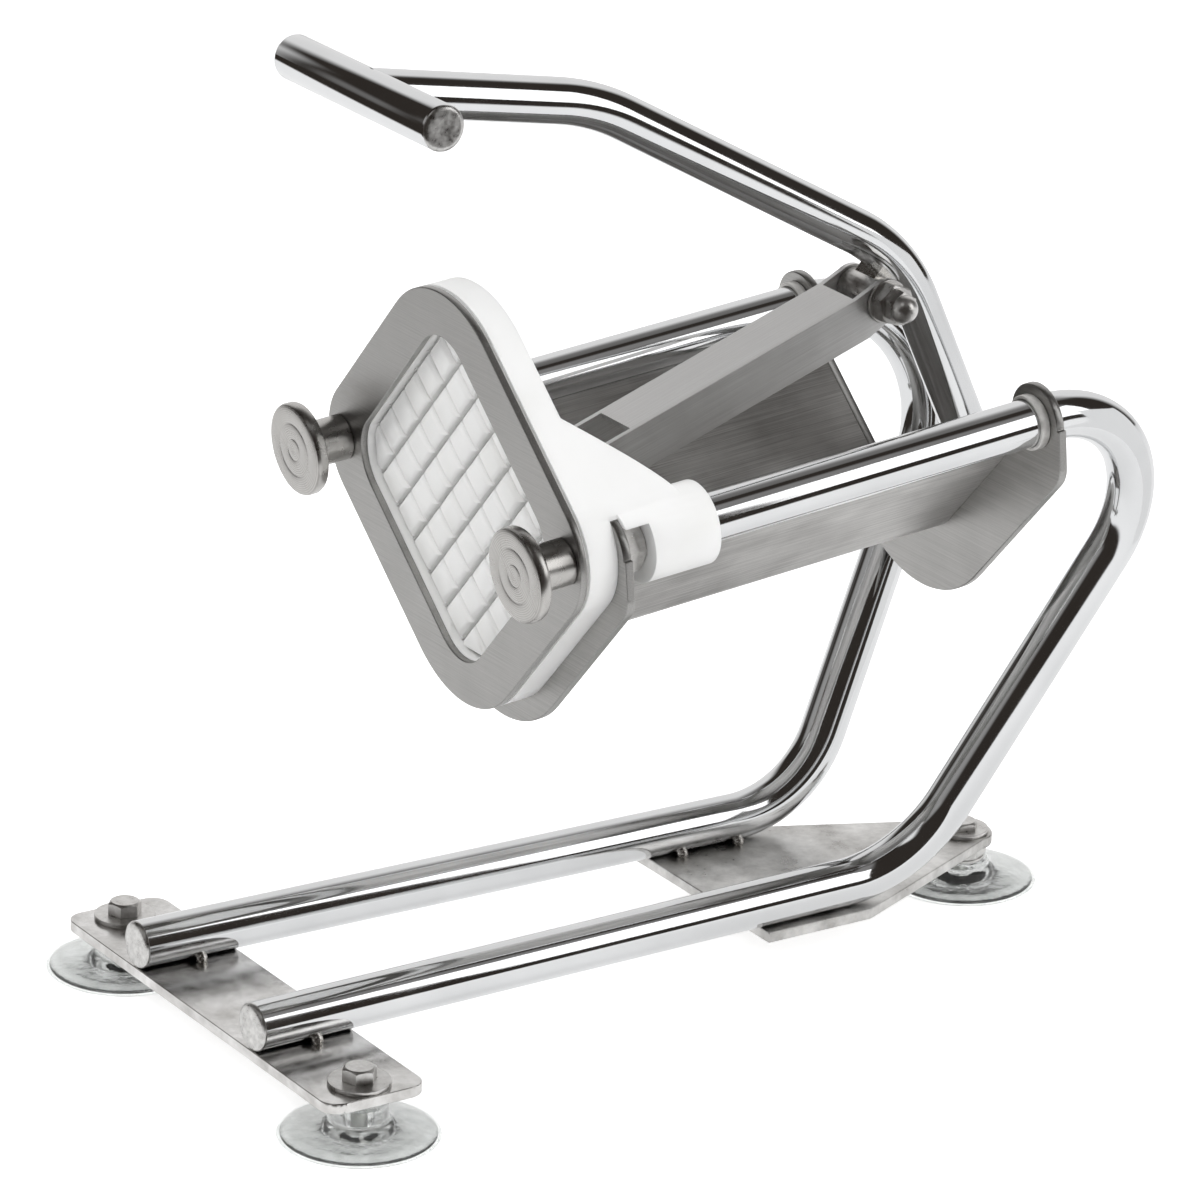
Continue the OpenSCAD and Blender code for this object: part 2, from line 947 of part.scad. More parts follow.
// a plate with a grid of posts that fit between the blades, with bevelled ends
module pusher_block() {
    half = cells / 2;
    back = pusher_plate_front + pusher_plate_t;
    color("white")
        difference() {
            in_head()
                translate([0, post_front, -head_drop])
                    rotate([0, 45, 0])
                        difference() {
                            rotate([-90, 0, 0])
                                linear_extrude(back - post_front)
                                    cut_square(pusher_side, pusher_cut);
                            for (turn = [0, 90])
                                rotate([0, turn, 0]) {
                                    for (i = [0:cells - 2])
                                        translate([(i - half + 1) * cell_pitch - slot_w / 2,
                                                -1, -pusher_side])
                                            cube([slot_w, post_depth + 1, 2 * pusher_side]);
                                    for (i = [0:cells])
                                        bevel((i - half) * cell_pitch);
                                }
                        }
            across(pusher_plate_front, back + 1)
                for (x = [-1, 1])
                    translate([x * screw_spread, 0])
                        circle(screw_r);
        }
}

module bevel(x) {
    translate([x, 0, -through])
        linear_extrude(2 * through)
            polygon([[-groove_w / 2, -0.01], [groove_w / 2, -0.01], [0, groove_w / 2]]);
}

// V shaped shoe behind the plate, which slides in the trough
module pusher_shoe() {
    front = pusher_plate_front + pusher_plate_t;
    outer = trough_in - shoe_gap * root2;
    inner = outer - shoe_t * root2;
    color("white")
        across(front, shoe_back)
            intersection() {
                difference() {
                    v_above(outer, trough_r);
                    v_above(inner, trough_r);
                }
                translate([-shoe_x, -shoe_floor - 6])
                    square([2 * shoe_x, shoe_floor - 9]);
            }
}

// upright block with an open topped slot, in which the pin of the link rides
module pusher_yoke() {
    front = pusher_plate_front + pusher_plate_t;
    foot_t = 3;
    slot_front = pin_back - pin_r - pin_play_front;
    slot_back = pin_back + pin_r + pin_play_back;
    slot_floor = -pin_drop - pin_r - 0.3;
    color("silver")
        difference() {
            in_head()
                union() {
                    translate([-yoke_w / 2, front, slot_floor - yoke_floor])
                        cube([yoke_w, yoke_back - front, yoke_floor]);
                    translate([-yoke_w / 2, front, slot_floor])
                        cube([yoke_w, slot_front - front, yoke_front_top - slot_floor]);
                    translate([-yoke_w / 2, slot_back, slot_floor])
                        cube([yoke_w, yoke_back - slot_back, yoke_rear_top - slot_floor]);
                    translate([-screw_spread - 7, front, -7])
                        cube([2 * screw_spread + 14, foot_t, 14]);
                }
            across(front - 1, front + foot_t + 1)
                for (x = [-1, 1])
                    translate([x * screw_spread, 0])
                        circle(screw_r);
        }
}

module pusher_screws() {
    front = pusher_plate_front + pusher_plate_t + 3;
    color("lightgray")
        for (x = [-1, 1])
            in_head()
                translate([x * screw_spread, front, 0])
                    rotate([-90, 0, 0]) {
                        translate([0, 0, -screw_len])
                            cylinder(h = screw_len, r = screw_r);
                        difference() {
                            cylinder(h = screw_head_h, r = screw_head_r);
                            translate([-screw_head_r, -0.5, screw_head_h - 1])
                                cube([2 * screw_head_r, 1, 2]);
                        }
                    }
}

// ---- link

// draws in the plane of the link: +X runs from the link bolt forward to the pin
module in_link() {
    translate(bolt_pt)
        rotate([rail_tilt + link_angle, 0, 0])
            rotate([0, 0, -90])
                children();
}

// folded channel, open below, with round ends on its cheeks
module link_channel() {
    end_r = 5.8;
    front_end_r = 4.6;
    color("silver")
        in_link()
            difference() {
                union() {
                    for (side = [-1, 1])
                        translate([0, side * (link_half - link_t / 2), 0])
                            rotate([90, 0, 0])
                                translate([0, 0, -link_t / 2])
                                    linear_extrude(link_t)
                                        cheek(end_r, front_end_r);
                    translate([link_web_rear, -link_half, link_top - link_t])
                        cube([link_len - link_web_front - link_web_rear, 2 * link_half, link_t]);
                }
                translate([0, through, 0])
                    rotate([90, 0, 0])
                        cylinder(h = 2 * through, r = bolt_r + run_gap);
                translate([link_len, through, 0])
                    rotate([90, 0, 0])
                        cylinder(h = 2 * through, r = pin_r);
            }
}

module cheek(end_r, front_end_r) {
    low = link_top - link_h;
    polygon([[0, end_r], [link_web_rear, link_top], [link_len - link_web_front, link_top],
        [link_len, front_end_r], [link_len, -front_end_r], [link_len - 14, low],
        [8, low], [0, -end_r]]);
    circle(end_r);
    translate([link_len, 0])
        circle(front_end_r);
}

module link_pin() {
    half = link_half + 1.6;
    color("lightgray")
        cross_axis(pin_pt, -half)
            cylinder(h = 2 * half, r = pin_r);
}

module link_pin_rings() {
    color("lightgray")
        for (side = [-1, 1])
            cross_axis(pin_pt, side * (link_half + 0.5) - 0.5)
                washer(pin_r + 1.6, 1, pin_r);
}

// ---- lever

module handle_bar() {
    edge = 1.2;
    half = handle_len / 2;
    color("silver")
        cross_axis(handle_pt, 0)
            rotate_extrude()
                polygon([[0, -half], [handle_r - edge, -half], [handle_r, -half + edge],
                    [handle_r, half - edge], [handle_r - edge, half], [0, half]]);
}

module lever_tube() {
    color("silver")
        difference() {
            bent_bar(lever_points, lever_bend_r, lever_top_r, lever_r, lever_r - tube_wall);
            cross_axis(handle_pt, -through)
                cylinder(h = 2 * through, r = handle_r + weld_gap);
            cross_axis(pivot_pt, -through)
                cylinder(h = 2 * through, r = hub_r + weld_gap);
            cross_axis(bolt_pt, -through)
                cylinder(h = 2 * through, r = sleeve_r + weld_gap);
        }
}

// cross tube at the foot of the lever, turning on the pivot bolt
module lever_hub() {
    color("silver")
        cross_axis(pivot_pt, -hub_half)
            washer(hub_r, 2 * hub_half, pivot_r + run_gap);
}

// short cross tube under the bend of the lever, between the cheeks of the link
module lever_sleeve() {
    color("silver")
        cross_axis(bolt_pt, -sleeve_half)
            washer(sleeve_r, 2 * sleeve_half, bolt_r);
}

// weld that joins the sleeve to the lever
module lever_weld() {
    half_w = 4.4;
    color("gray")
        difference() {
            translate([-half_w, bolt_pt[1], bolt_pt[2]])
                rotate([48.6, 0, 0])
                    cube([2 * half_w, 9, 4.2]);
            bent_bar(lever_points, lever_bend_r, lever_top_r, lever_r);
            cross_axis(bolt_pt, -through)
                cylinder(h = 2 * through, r = sleeve_r);
        }
}

// the left end is spread over into a low round head
module link_bolt() {
    half = link_half + side_play;
    tail = bolt_washer_t + bolt_nut_h + 3.5;
    edge = 0.6;
    color("lightgray") {
        cross_axis(bolt_pt, -half)
            cylinder(h = 2 * half + tail, r = bolt_r);
        cross_axis(bolt_pt, -half - bolt_end_h)
            rotate_extrude()
                polygon([[0, 0], [bolt_end_r - edge, 0], [bolt_end_r, edge],
                    [bolt_end_r, bolt_end_h], [0, bolt_end_h]]);
    }
}

module link_washers() {
    color("lightgray")
        cross_axis(bolt_pt, link_half + side_play)
            washer(bolt_washer_r, bolt_washer_t, bolt_r);
}

module link_nut() {
    color("lightgray")
        cross_axis(bolt_pt, link_half + side_play + bolt_washer_t)
            rotate(10)
                hex_nut(bolt_hex, bolt_nut_h, bolt_r);
}

// domed cap nut on the end of the link bolt
module acorn_nut() {
    hex_h = 3;
    color("lightgray")
        cross_axis(bolt_pt, link_half + side_play + bolt_washer_t + bolt_nut_h)
            difference() {
                union() {
                    hex_nut(acorn_hex, hex_h, 0.1);
                    translate([0, 0, hex_h])
                        intersection() {
                            sphere(acorn_r);
                            cylinder(h = acorn_r, r = acorn_r);
                        }
                }
                translate([0, 0, -1])
                    cylinder(h = 4.5, r = bolt_r);
            }
}

front_plate();
rear_plate();
frame_tube_left();
frame_tube_right();
tube_end_caps();
weld_beads();
suction_cup_left();
suction_cup_right();
suction_cup_rear();
foot_bolts();
foot_washers();
foot_nuts();
rear_foot_stack();
trough();
trough_rear_plate();
trough_front_plate();
rail_collars();
pivot_bracket();
pivot_bolt();
pivot_nut();
head_block();
head_frame();
blade_holder();
blades_rising();
blades_falling();
clamp_studs();
clamp_nuts();
knob_left();
knob_right();
pusher_block();
pusher_shoe();
pusher_yoke();
pusher_screws();
link_channel();
link_pin();
link_pin_rings();
lever_tube();
handle_bar();
lever_hub();
lever_sleeve();
lever_weld();
link_bolt();
link_washers();
link_nut();
acorn_nut();
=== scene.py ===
# %% [markdown]
# # A hand lever french fry cutter, dressed for the studio
#
# The construction model gives every piece its place and size. This script keeps that frame, and
# gives each piece the surface that a maker would give it: plated tube, brushed sheet, turned
# knobs, white moulded plastic and clear soft cups. Pieces that repeat or follow a path are made
# with Geometry Nodes, round pieces are turned on a small lathe function, and sheet pieces are the
# construction solids with their edges broken.

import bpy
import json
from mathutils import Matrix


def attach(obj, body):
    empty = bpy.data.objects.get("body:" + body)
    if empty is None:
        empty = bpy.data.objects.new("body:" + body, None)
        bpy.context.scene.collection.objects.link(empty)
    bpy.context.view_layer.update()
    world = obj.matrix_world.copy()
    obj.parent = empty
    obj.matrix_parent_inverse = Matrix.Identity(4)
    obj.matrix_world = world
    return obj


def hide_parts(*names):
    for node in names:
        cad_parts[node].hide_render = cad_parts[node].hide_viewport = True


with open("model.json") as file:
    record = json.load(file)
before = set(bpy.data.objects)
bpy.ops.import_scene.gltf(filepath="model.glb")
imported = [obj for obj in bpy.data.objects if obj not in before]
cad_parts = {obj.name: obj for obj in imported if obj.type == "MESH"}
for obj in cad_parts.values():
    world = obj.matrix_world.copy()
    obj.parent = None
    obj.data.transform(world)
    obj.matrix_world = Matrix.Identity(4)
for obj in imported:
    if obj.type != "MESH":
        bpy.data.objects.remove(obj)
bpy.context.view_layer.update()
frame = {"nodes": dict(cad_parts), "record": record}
nodes = frame["nodes"]

# %% Tools of the script
import json
import math

import bmesh
import bpy
from mathutils import Matrix, Vector

MM = 0.001
scene = bpy.context.scene
print("sizes are written in millimetres, and Blender gets them times", MM)


def srgb(code):
    """The linear red, green, blue and alpha of a colour written as six hex digits."""
    values = [int(code[i:i + 2], 16) / 255 for i in (0, 2, 4)]
    linear = [v / 12.92 if v <= 0.04045 else ((v + 0.055) / 1.055) ** 2.4 for v in values]
    return (*linear, 1.0)


def add(tree, kind, inputs=None, **settings):
    """Adds a node, sets it up, and links or fills its inputs. A list is several links."""
    made = tree.nodes.new(kind)
    for name, value in settings.items():
        setattr(made, name, value)
    for key, value in (inputs or {}).items():
        for item in value if isinstance(value, list) else [value]:
            if isinstance(item, bpy.types.NodeSocket):
                tree.links.new(item, made.inputs[key])
            else:
                made.inputs[key].default_value = item
    return made


def placed(name, data):
    """A new object in the scene."""
    made = bpy.data.objects.new(name, data)
    scene.collection.objects.link(made)
    return made


# %% [markdown]
# ## The camera
#
# A long lens from the front right, a little above. Its place is worked out from the angles at
# which the rails, the tubes and the head run together. The camera leans by a degree and a half.

# %% Camera
AZIMUTH, ELEVATION, ROLL = (math.radians(a) for a in (56.74, 20.51, 1.47))
DISTANCE = 1714.4 * MM
TARGET = Vector((17.05, -17.73, 110.92)) * MM
LENS, SENSOR, FAR_CLIP = 199.98, 36, 20

away = Vector((math.sin(AZIMUTH) * math.cos(ELEVATION),
               -math.cos(AZIMUTH) * math.cos(ELEVATION), math.sin(ELEVATION)))
level = (-away).cross(Vector((0, 0, 1))).normalized()
above = level.cross(-away)
right = level * math.cos(ROLL) + above * math.sin(ROLL)
up = above * math.cos(ROLL) - level * math.sin(ROLL)

camera = placed("camera", bpy.data.cameras.new("camera"))
camera.data.lens = LENS
camera.data.sensor_width = SENSOR
camera.data.clip_end = FAR_CLIP
camera.matrix_world = Matrix.Translation(TARGET + away * DISTANCE) @ Matrix(
    (right, up, away)).transposed().to_4x4()
scene.camera = camera
scene.view_settings.view_transform = "Standard"
print("camera at", [round(v, 3) for v in camera.location])

# %% [markdown]
# ## Materials
#
# Bright metal shows the room more than its own colour, so what matters is how even the mirror is.
# Each metal below gets its roughness from the way it was finished. Plating is nearly a mirror with
# a faint haze, sheet is brushed along one direction, turned pieces carry rings, and zinc is dull
# and cloudy. All materials are built from the same few steps: coordinates in millimetres on the
# piece itself, patterns spread between two levels, and a shader with a colour and a fine relief.
# On these coordinates a noise has as many clouds in a millimetre as its Scale says: 0.05 is one
# cloud in 20 mm.

# %% Steps that the materials share
# the middle of a noise, where most of its values lie
NOISE_RANGE = (0.3, 0.7)
# the colour sockets of a Mix node, which share their names with the plain ones
MIX_A, MIX_B, MIX_RESULT = 6, 7, 2


def new_material(name):
    material = bpy.data.materials.new(name)
    material.use_nodes = True
    material.node_tree.nodes.clear()
    return material, material.node_tree


def mapped(tree, scale=(1, 1, 1), turn=(0, 0, 0), centre=(0, 0, 0)):
    """Object coordinates in millimetres, centred, turned and stretched."""
    where = add(tree, "ShaderNodeTexCoord")
    centred = add(tree, "ShaderNodeMapping", {
        "Vector": where.outputs["Object"],
        "Location": tuple(-c / MM for c in centre), "Scale": (1 / MM,) * 3})
    turned_to = add(tree, "ShaderNodeMapping", {
        "Vector": centred.outputs[0], "Rotation": turn})
    return add(tree, "ShaderNodeMapping", {
        "Vector": turned_to.outputs[0], "Scale": scale}).outputs[0]


def spread(tree, *patterns):
    """Spreads each pattern between two levels and adds them up.

    A pattern is (node, low, high), and may end with the range of its own values."""
    total = None
    for node, low, high, *own in patterns:
        start, end = own or NOISE_RANGE
        part = add(tree, "ShaderNodeMapRange", {
            "Value": node.outputs[0], "From Min": start, "From Max": end,
            "To Min": low, "To Max": high}).outputs[0]
        total = part if total is None else add(
            tree, "ShaderNodeMath", {0: total, 1: part}, operation="ADD").outputs[0]
    return total


def finish_material(tree, tone, colours, relief, sockets):
    """Ends a material in its shader.

    The tone chooses a colour between two hex colours. The relief is a pattern, the strength of
    its bump and the bump's depth in millimetres. The other sockets are filled as given."""
    dark, light = (srgb(code) for code in colours)
    colour = add(tree, "ShaderNodeMix", {
        "Factor": tone, MIX_A: dark, MIX_B: light}, data_type="RGBA")
    pattern, strength, depth = relief
    bump = add(tree, "ShaderNodeBump", {
        "Height": pattern.outputs[0], "Strength": strength, "Distance": depth * MM})
    shader = add(tree, "ShaderNodeBsdfPrincipled", {
        "Base Color": colour.outputs[MIX_RESULT], "Normal": bump.outputs[0], **sockets})
    add(tree, "ShaderNodeOutputMaterial", {"Surface": shader.outputs[0]})


print("a noise is spread between its values", *NOISE_RANGE)

# %% [markdown]
# **Plated tube.** Steel tube, bent, polished and chrome plated. The plating is a mirror with a
# very slight haze in clouds about 20 mm wide. Faint polishing lines, half a millimetre wide and
# 20 mm long, run along the object and follow the bends only loosely.

# %% Chrome plate
MIRROR_ROUGH, HAZE, SCRATCHES = 0.045, 0.05, 0.025


def chrome_plate(name):
    material, tree = new_material(name)
    cloud = add(tree, "ShaderNodeTexNoise", {
        "Vector": mapped(tree), "Scale": 0.045, "Detail": 3.0})
    lines = add(tree, "ShaderNodeTexNoise", {
        "Vector": mapped(tree, scale=(2.2, 0.05, 2.2)), "Scale": 1.0, "Detail": 2.0})
    # only the strongest lines are deep enough to blur the mirror
    wear = spread(tree, (cloud, 0.0, HAZE), (lines, 0.0, SCRATCHES, 0.5, 0.75))
    rough = add(tree, "ShaderNodeMath", {0: wear, 1: MIRROR_ROUGH}, operation="ADD")
    finish_material(tree, cloud.outputs[0], ("DADBDC", "EDEEEF"), (lines, 0.04, 0.02), {
        "Metallic": 1.0, "Roughness": rough.outputs[0]})
    return material


chrome = chrome_plate("chrome_plated_steel_tube")
print("made", chrome.name)

# %% [markdown]
# **Brushed sheet.** Stainless sheet, drawn under an abrasive belt of about 180 grit. The real
# lines are under a tenth of a millimetre wide. They are drawn 0.3 mm wide here, so that they
# show, and about 30 mm long. The belt leaves a soft sheen with fine dark and light streaks, and
# hands leave smudges about 17 mm wide. Each sheet is brushed along its own length, so the pattern
# leans with the piece.

# %% Brushed stainless sheet
BELT_WIDTH, BELT_LENGTH = 0.3, 30.0


def brushed(name, along, lean, dark, light, rough):
    stretch = [1 / BELT_WIDTH] * 3
    stretch["XYZ".index(along)] = 1 / BELT_LENGTH
    material, tree = new_material(name)
    streak = add(tree, "ShaderNodeTexNoise", {
        "Vector": mapped(tree, scale=tuple(stretch), turn=(-lean, 0, 0)), "Scale": 1.0,
        "Detail": 3.0, "Roughness": 0.6})
    smudge = add(tree, "ShaderNodeTexNoise", {
        "Vector": mapped(tree), "Scale": 0.06, "Detail": 4.0})
    tone = spread(tree, (streak, 0.1, 0.75), (smudge, -0.1, 0.3))
    sheen = spread(tree, (streak, rough - 0.06, rough + 0.08), (smudge, -0.03, 0.05))
    finish_material(tree, tone, (dark, light), (streak, 0.25, 0.02), {
        "Metallic": 1.0, "Roughness": sheen})
    return material


RAIL_LEAN, LINK_LEAN = math.radians(5.2), math.radians(19.5)
# direction of the belt, lean of the piece, dark and light tone, roughness
sheet = brushed("brushed_stainless_sheet", "Y", RAIL_LEAN, "8F8E8C", "C9C8C6", 0.3)
sheet_across = brushed(
    "stainless_sheet_ground_across", "X", RAIL_LEAN, "989795", "C0BFBD", 0.36)
link_sheet = brushed("folded_stainless_sheet", "Y", LINK_LEAN, "DAD9D8", "FAFAF9", 0.42)
trough_sheet = brushed("belt_ground_trough_sheet", "Y", RAIL_LEAN, "A9A7A5", "F0EFED", 0.5)
blade_steel = brushed("ground_blade_steel", "Z", RAIL_LEAN, "E6E6E5", "F6F6F5", 0.6)
print("made four brushed sheets and the blade steel")

# %% [markdown]
# **Turned steel.** The knobs are cut on a lathe. The tool leaves fine rings round the axis, and
# fingers leave clouds about 4 mm wide. The pattern is a ring wave round the knob's own axis, so
# each knob has its own material.

# %% Turned stainless
# real rings are finer: these are drawn 0.55 mm apart, so that they show
# a wave of scale 1 has a ring about every 0.3 mm
RING_PITCH, WAVE_PITCH = 0.55, 0.3


def turned(name, centre):
    material, tree = new_material(name)
    rings = add(tree, "ShaderNodeTexWave", {
        "Vector": mapped(tree, turn=(-RAIL_LEAN, 0, 0), centre=centre),
        "Scale": WAVE_PITCH / RING_PITCH, "Distortion": 0.15, "Detail": 2.0},
        wave_type="RINGS", rings_direction="Y")
    cloud = add(tree, "ShaderNodeTexNoise", {
        "Vector": mapped(tree), "Scale": 0.25, "Detail": 3.0})
    tone = spread(tree, (rings, 0.2, 0.7, 0.0, 1.0), (cloud, -0.08, 0.12))
    finish_material(tree, tone, ("A3A19E", "D2D0CD"), (rings, 0.2, 0.03), {
        "Metallic": 1.0, "Roughness": spread(tree, (cloud, 0.26, 0.3))})
    return material


print("rings every", RING_PITCH, "mm")

# %% [markdown]
# ** Zinc, weld metal and plate.** Bolts, nuts and washers are zinc plated: greyer than chrome and
# cloudy. A weld bead is smooth and bright where it froze, with patches of grey under a millimetre
# wide. The ends of the tubes were faced with a grinder. The rear foot plate keeps the clouds of
# the rolling mill, about 11 mm wide, and their light tone is raised into a painted sheen. The
# front one has a satin plating over them. All differ only in tone, roughness and the width of
# their clouds, so one function makes them.

# %% Cloudy metals
def cloudy_metal(name, dark, light, rough_low, rough_high, clouds, relief=0.2, metallic=1.0):
    """The number of clouds is that in a millimetre."""
    material, tree = new_material(name)
    cloud = add(tree, "ShaderNodeTexNoise", {
        "Vector": mapped(tree), "Scale": clouds, "Detail": 5.0, "Roughness": 0.6})
    finish_material(tree, spread(tree, (cloud, 0.0, 1.0)), (dark, light), (cloud, relief, 0.05), {
        "Metallic": metallic, "Roughness": spread(tree, (cloud, rough_low, rough_high))})
    return material


# dark and light tone, roughness from and to, clouds in a millimetre, strength of the relief
zinc = cloudy_metal("bright_zinc_plated_steel", "C4C2BF", "EFEEEC", 0.26, 0.4, 0.35, 0.06)
weld_metal = cloudy_metal("weld_metal", "BBB7B1", "EDEBE7", 0.18, 0.34, 1.2)
# a dull zinc skin is partly oxide, so it is less metallic
dull_zinc = cloudy_metal("dull_zinc_collar", "C4C2BF", "E6E5E2", 0.35, 0.5, 0.35, 0.06, 0.55)
faced = cloudy_metal("end_faced_with_a_grinder", "B4B3B1", "EFEEEC", 0.22, 0.45, 0.55, 0.45)
# the rear plate's clouds are mill clouds, and their light tone is raised into a painted sheen
mill_clouds_and_painted_sheen_plate = cloudy_metal("rolled_plate_mill_clouds_and_painted_sheen", "A5A3A0", "F5F4F2", 0.24, 0.4, 0.09, 0.08)
satin_plate = cloudy_metal("satin_plated_plate", "BFBDBA", "F3F2F1", 0.13, 0.26, 0.12, 0.1)
print("made six cloudy metals")

# %% [markdown]
# **White plastic.** The head block and the pusher are moulded in white polypropylene or a plastic
# like it. Light goes a little way in, which softens the shadows. The mould leaves a fine satin
# grain, drawn 0.4 mm wide, and the flow of the melt leaves clouds 20 mm wide. **Clear cups** are
# soft PVC: clear, slightly grey, with a skin in soft waves about 3 mm wide.

# %% Plastics
MOULD_GRAIN, MELT_FLOW = 0.4, 20


def moulded_plastic(name):
    material, tree = new_material(name)
    grain = add(tree, "ShaderNodeTexNoise", {
        "Vector": mapped(tree), "Scale": 1 / MOULD_GRAIN, "Detail": 3.0})
    flow = add(tree, "ShaderNodeTexNoise", {
        "Vector": mapped(tree), "Scale": 1 / MELT_FLOW, "Detail": 2.0})
    finish_material(
        tree, spread(tree, (flow, 0.0, 1.0)), ("F4F4F2", "FBFBFA"), (grain, 0.12, 0.03), {
            "Roughness": spread(tree, (grain, 0.32, 0.42)), "IOR": 1.49,
            "Subsurface Weight": 0.4, "Subsurface Scale": 2.5 * MM,
            "Subsurface Radius": (1, 1, 1)})
    return material


def clear_pvc(name):
    material, tree = new_material(name)
    skin = add(tree, "ShaderNodeTexNoise", {
        "Vector": mapped(tree), "Scale": 0.3, "Detail": 4.0})
    finish_material(
        tree, spread(tree, (skin, 0.0, 1.0)), ("C9CBCA", "E2E4E3"), (skin, 0.3, 0.2), {
            "Roughness": spread(tree, (skin, 0.03, 0.12)), "IOR": 1.53,
            "Transmission Weight": 0.95})
    return material


white = moulded_plastic("moulded_white_polypropylene")
clear = clear_pvc("clear_soft_pvc")
print("made", white.name, clear.name)

# %% [markdown]
# ## Making pieces
#
# Three ways are used. `keep` leaves a construction solid as it is and gives it a finish. `broken`
# makes a copy of one whose sharp edges are broken by a small bevel, because no cut sheet has a
# perfect edge, and the thin bright line along the edge is what makes it look like sheet. New
# meshes come from `loft`, `lathe` and the Geometry Nodes trees, and `new_piece` puts them in.

# %% Piece helpers
# edges that turn by more degrees than this stay sharp: as a rule, on tubes and cups, on small
# facets, and on flat strip
SHARP, ON_ROUND, ON_FACETS, ON_STRIP = 35.0, 50, 30, 20
# faces that differ by less are one flat, and points that lie closer are one point
FLAT_ANGLE, LOOSE_GAP = 0.6, 0.002


def new_piece(name, mesh, material, body, replaced=(), angle=SHARP):
    """Puts a finished mesh in the scene and says what carries it."""
    mesh.name = name
    mesh.materials.clear()
    mesh.materials.append(material)
    if angle:
        mesh.shade_smooth()
        mesh.set_sharp_from_angle(angle=math.radians(angle))
    piece = placed(name, mesh)
    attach(piece, body)
    if replaced:
        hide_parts(*replaced)
    return piece


def keep(name, material):
    """A construction solid with a new finish."""
    slots = nodes[name].data.materials
    slots.clear()
    slots.append(material)


def settled(maker):
    """The evaluated mesh of an object, with its modifiers applied. The object is removed."""
    bpy.context.view_layer.update()
    depsgraph = bpy.context.evaluated_depsgraph_get()
    mesh = bpy.data.meshes.new_from_object(maker.evaluated_get(depsgraph))
    old = maker.data
    bpy.data.objects.remove(maker)
    if old.users == 0:
        bpy.data.meshes.remove(old)
    return mesh


def merged_copy(name):
    """A copy of a construction solid with its loose triangles joined and its flats cleaned."""
    mesh = nodes[name].data.copy()
    shape = bmesh.new()
    shape.from_mesh(mesh)
    bmesh.ops.remove_doubles(shape, verts=shape.verts, dist=LOOSE_GAP * MM)
    bmesh.ops.dissolve_limit(shape, angle_limit=math.radians(FLAT_ANGLE), verts=shape.verts,
                             edges=shape.edges, delimit=set())
    shape.to_mesh(mesh)
    shape.free()
    return mesh


def broken(name, material, body, width, segments=2):
    """A construction solid with its sharp edges broken by a bevel."""
    maker = placed("maker", merged_copy(name))
    bevel = maker.modifiers.new("edge", "BEVEL")
    bevel.width = width * MM
    bevel.segments = segments
    bevel.limit_method = "ANGLE"
    bevel.angle_limit = math.radians(SHARP)
    bevel.harden_normals = True
    bevel.use_clamp_overlap = True
    return new_piece(name + "_finished", settled(maker), material, body, [name], angle=None)


print("edges over", SHARP, "degrees stay sharp or get a bevel")

# %% Mesh helpers
LATHE_STEPS = 64


def as_mesh(shape, name):
    """A finished bmesh as a plain mesh."""
    mesh = bpy.data.meshes.new(name)
    shape.to_mesh(mesh)
    shape.free()
    return mesh


def together(name, meshes):
    """Several meshes in one."""
    shape = bmesh.new()
    for mesh in meshes:
        shape.from_mesh(mesh)
    return as_mesh(shape, name)


def loft(name, rings, matrix=None, capped=True):
    """Joins rings of points in millimetres, each to the next. A ring of one point is a tip."""
    shape = bmesh.new()
    made = [[shape.verts.new([c * MM for c in point]) for point in ring] for ring in rings]
    if capped:
        shape.faces.new(made[0])
        shape.faces.new(made[-1])
    for low, high in zip(made, made[1:]):
        count = max(len(low), len(high))
        for i in range(count):
            j = (i + 1) % count
            corners = [low[i % len(low)], low[j % len(low)],
                       high[j % len(high)], high[i % len(high)]]
            face = list(dict.fromkeys(corners))
            if len(face) > 2:
                shape.faces.new(face)
    bmesh.ops.recalc_face_normals(shape, faces=shape.faces)
    mesh = as_mesh(shape, name)
    if matrix:
        mesh.transform(matrix)
    return mesh


def lathe(profile, matrix, steps=LATHE_STEPS):
    """Turns a list of (radius, height) points round +Z and puts the result in place."""
    angles = [2 * math.pi * i / steps for i in range(steps)]
    rings = [[(radius * math.cos(a), radius * math.sin(a), height) for a in angles]
             if radius > 0 else [(0, 0, height)] for radius, height in profile]
    return loft("turned", rings, matrix, capped=False)


print("a turned piece has", LATHE_STEPS, "sides unless it says another number")

# %% [markdown]
# ## The places of things
#
# The head, trough and rails share one tilted frame: x across, y back along the rails from the
# face of the head, z up. `HEAD` brings it into the frame of the object. The other matrices turn
# the lathe's axis, which is +Z, to the front, to the back or across.

# %% Frames
QUARTER = math.pi / 2
TO_FRONT = Matrix.Rotation(QUARTER, 4, "X")
TO_BACK = Matrix.Rotation(-QUARTER, 4, "X")
ACROSS = Matrix.Rotation(QUARTER, 4, "Y")


def shifted(x, y, z):
    """A move in millimetres."""
    return Matrix.Translation(Vector((x, y, z)) * MM)


HEAD_Y, HEAD_Z = -52.8, 139.7
HEAD = shifted(0, HEAD_Y, HEAD_Z) @ Matrix.Rotation(RAIL_LEAN, 4, "X")


def rail_point(x, back, rise):
    return HEAD @ (Vector((x, back, rise)) * MM)


PIVOT = rail_point(0, 166, -38.7)
print("lever pivot", [round(v, 4) for v in PIVOT])

# %% [markdown]
# ## Bent tubes
#
# Each tube is a circle swept along a path of straight runs and round bends, as on a tube bender.
# The script writes the path as a chain of points, with a point every two degrees of bend, and a
# Geometry Nodes tree sweeps the circle along it. The tree has named inputs, so the same tree
# makes the stand and the lever.

# %% A path with round bends
BEND_STEP = 2.0


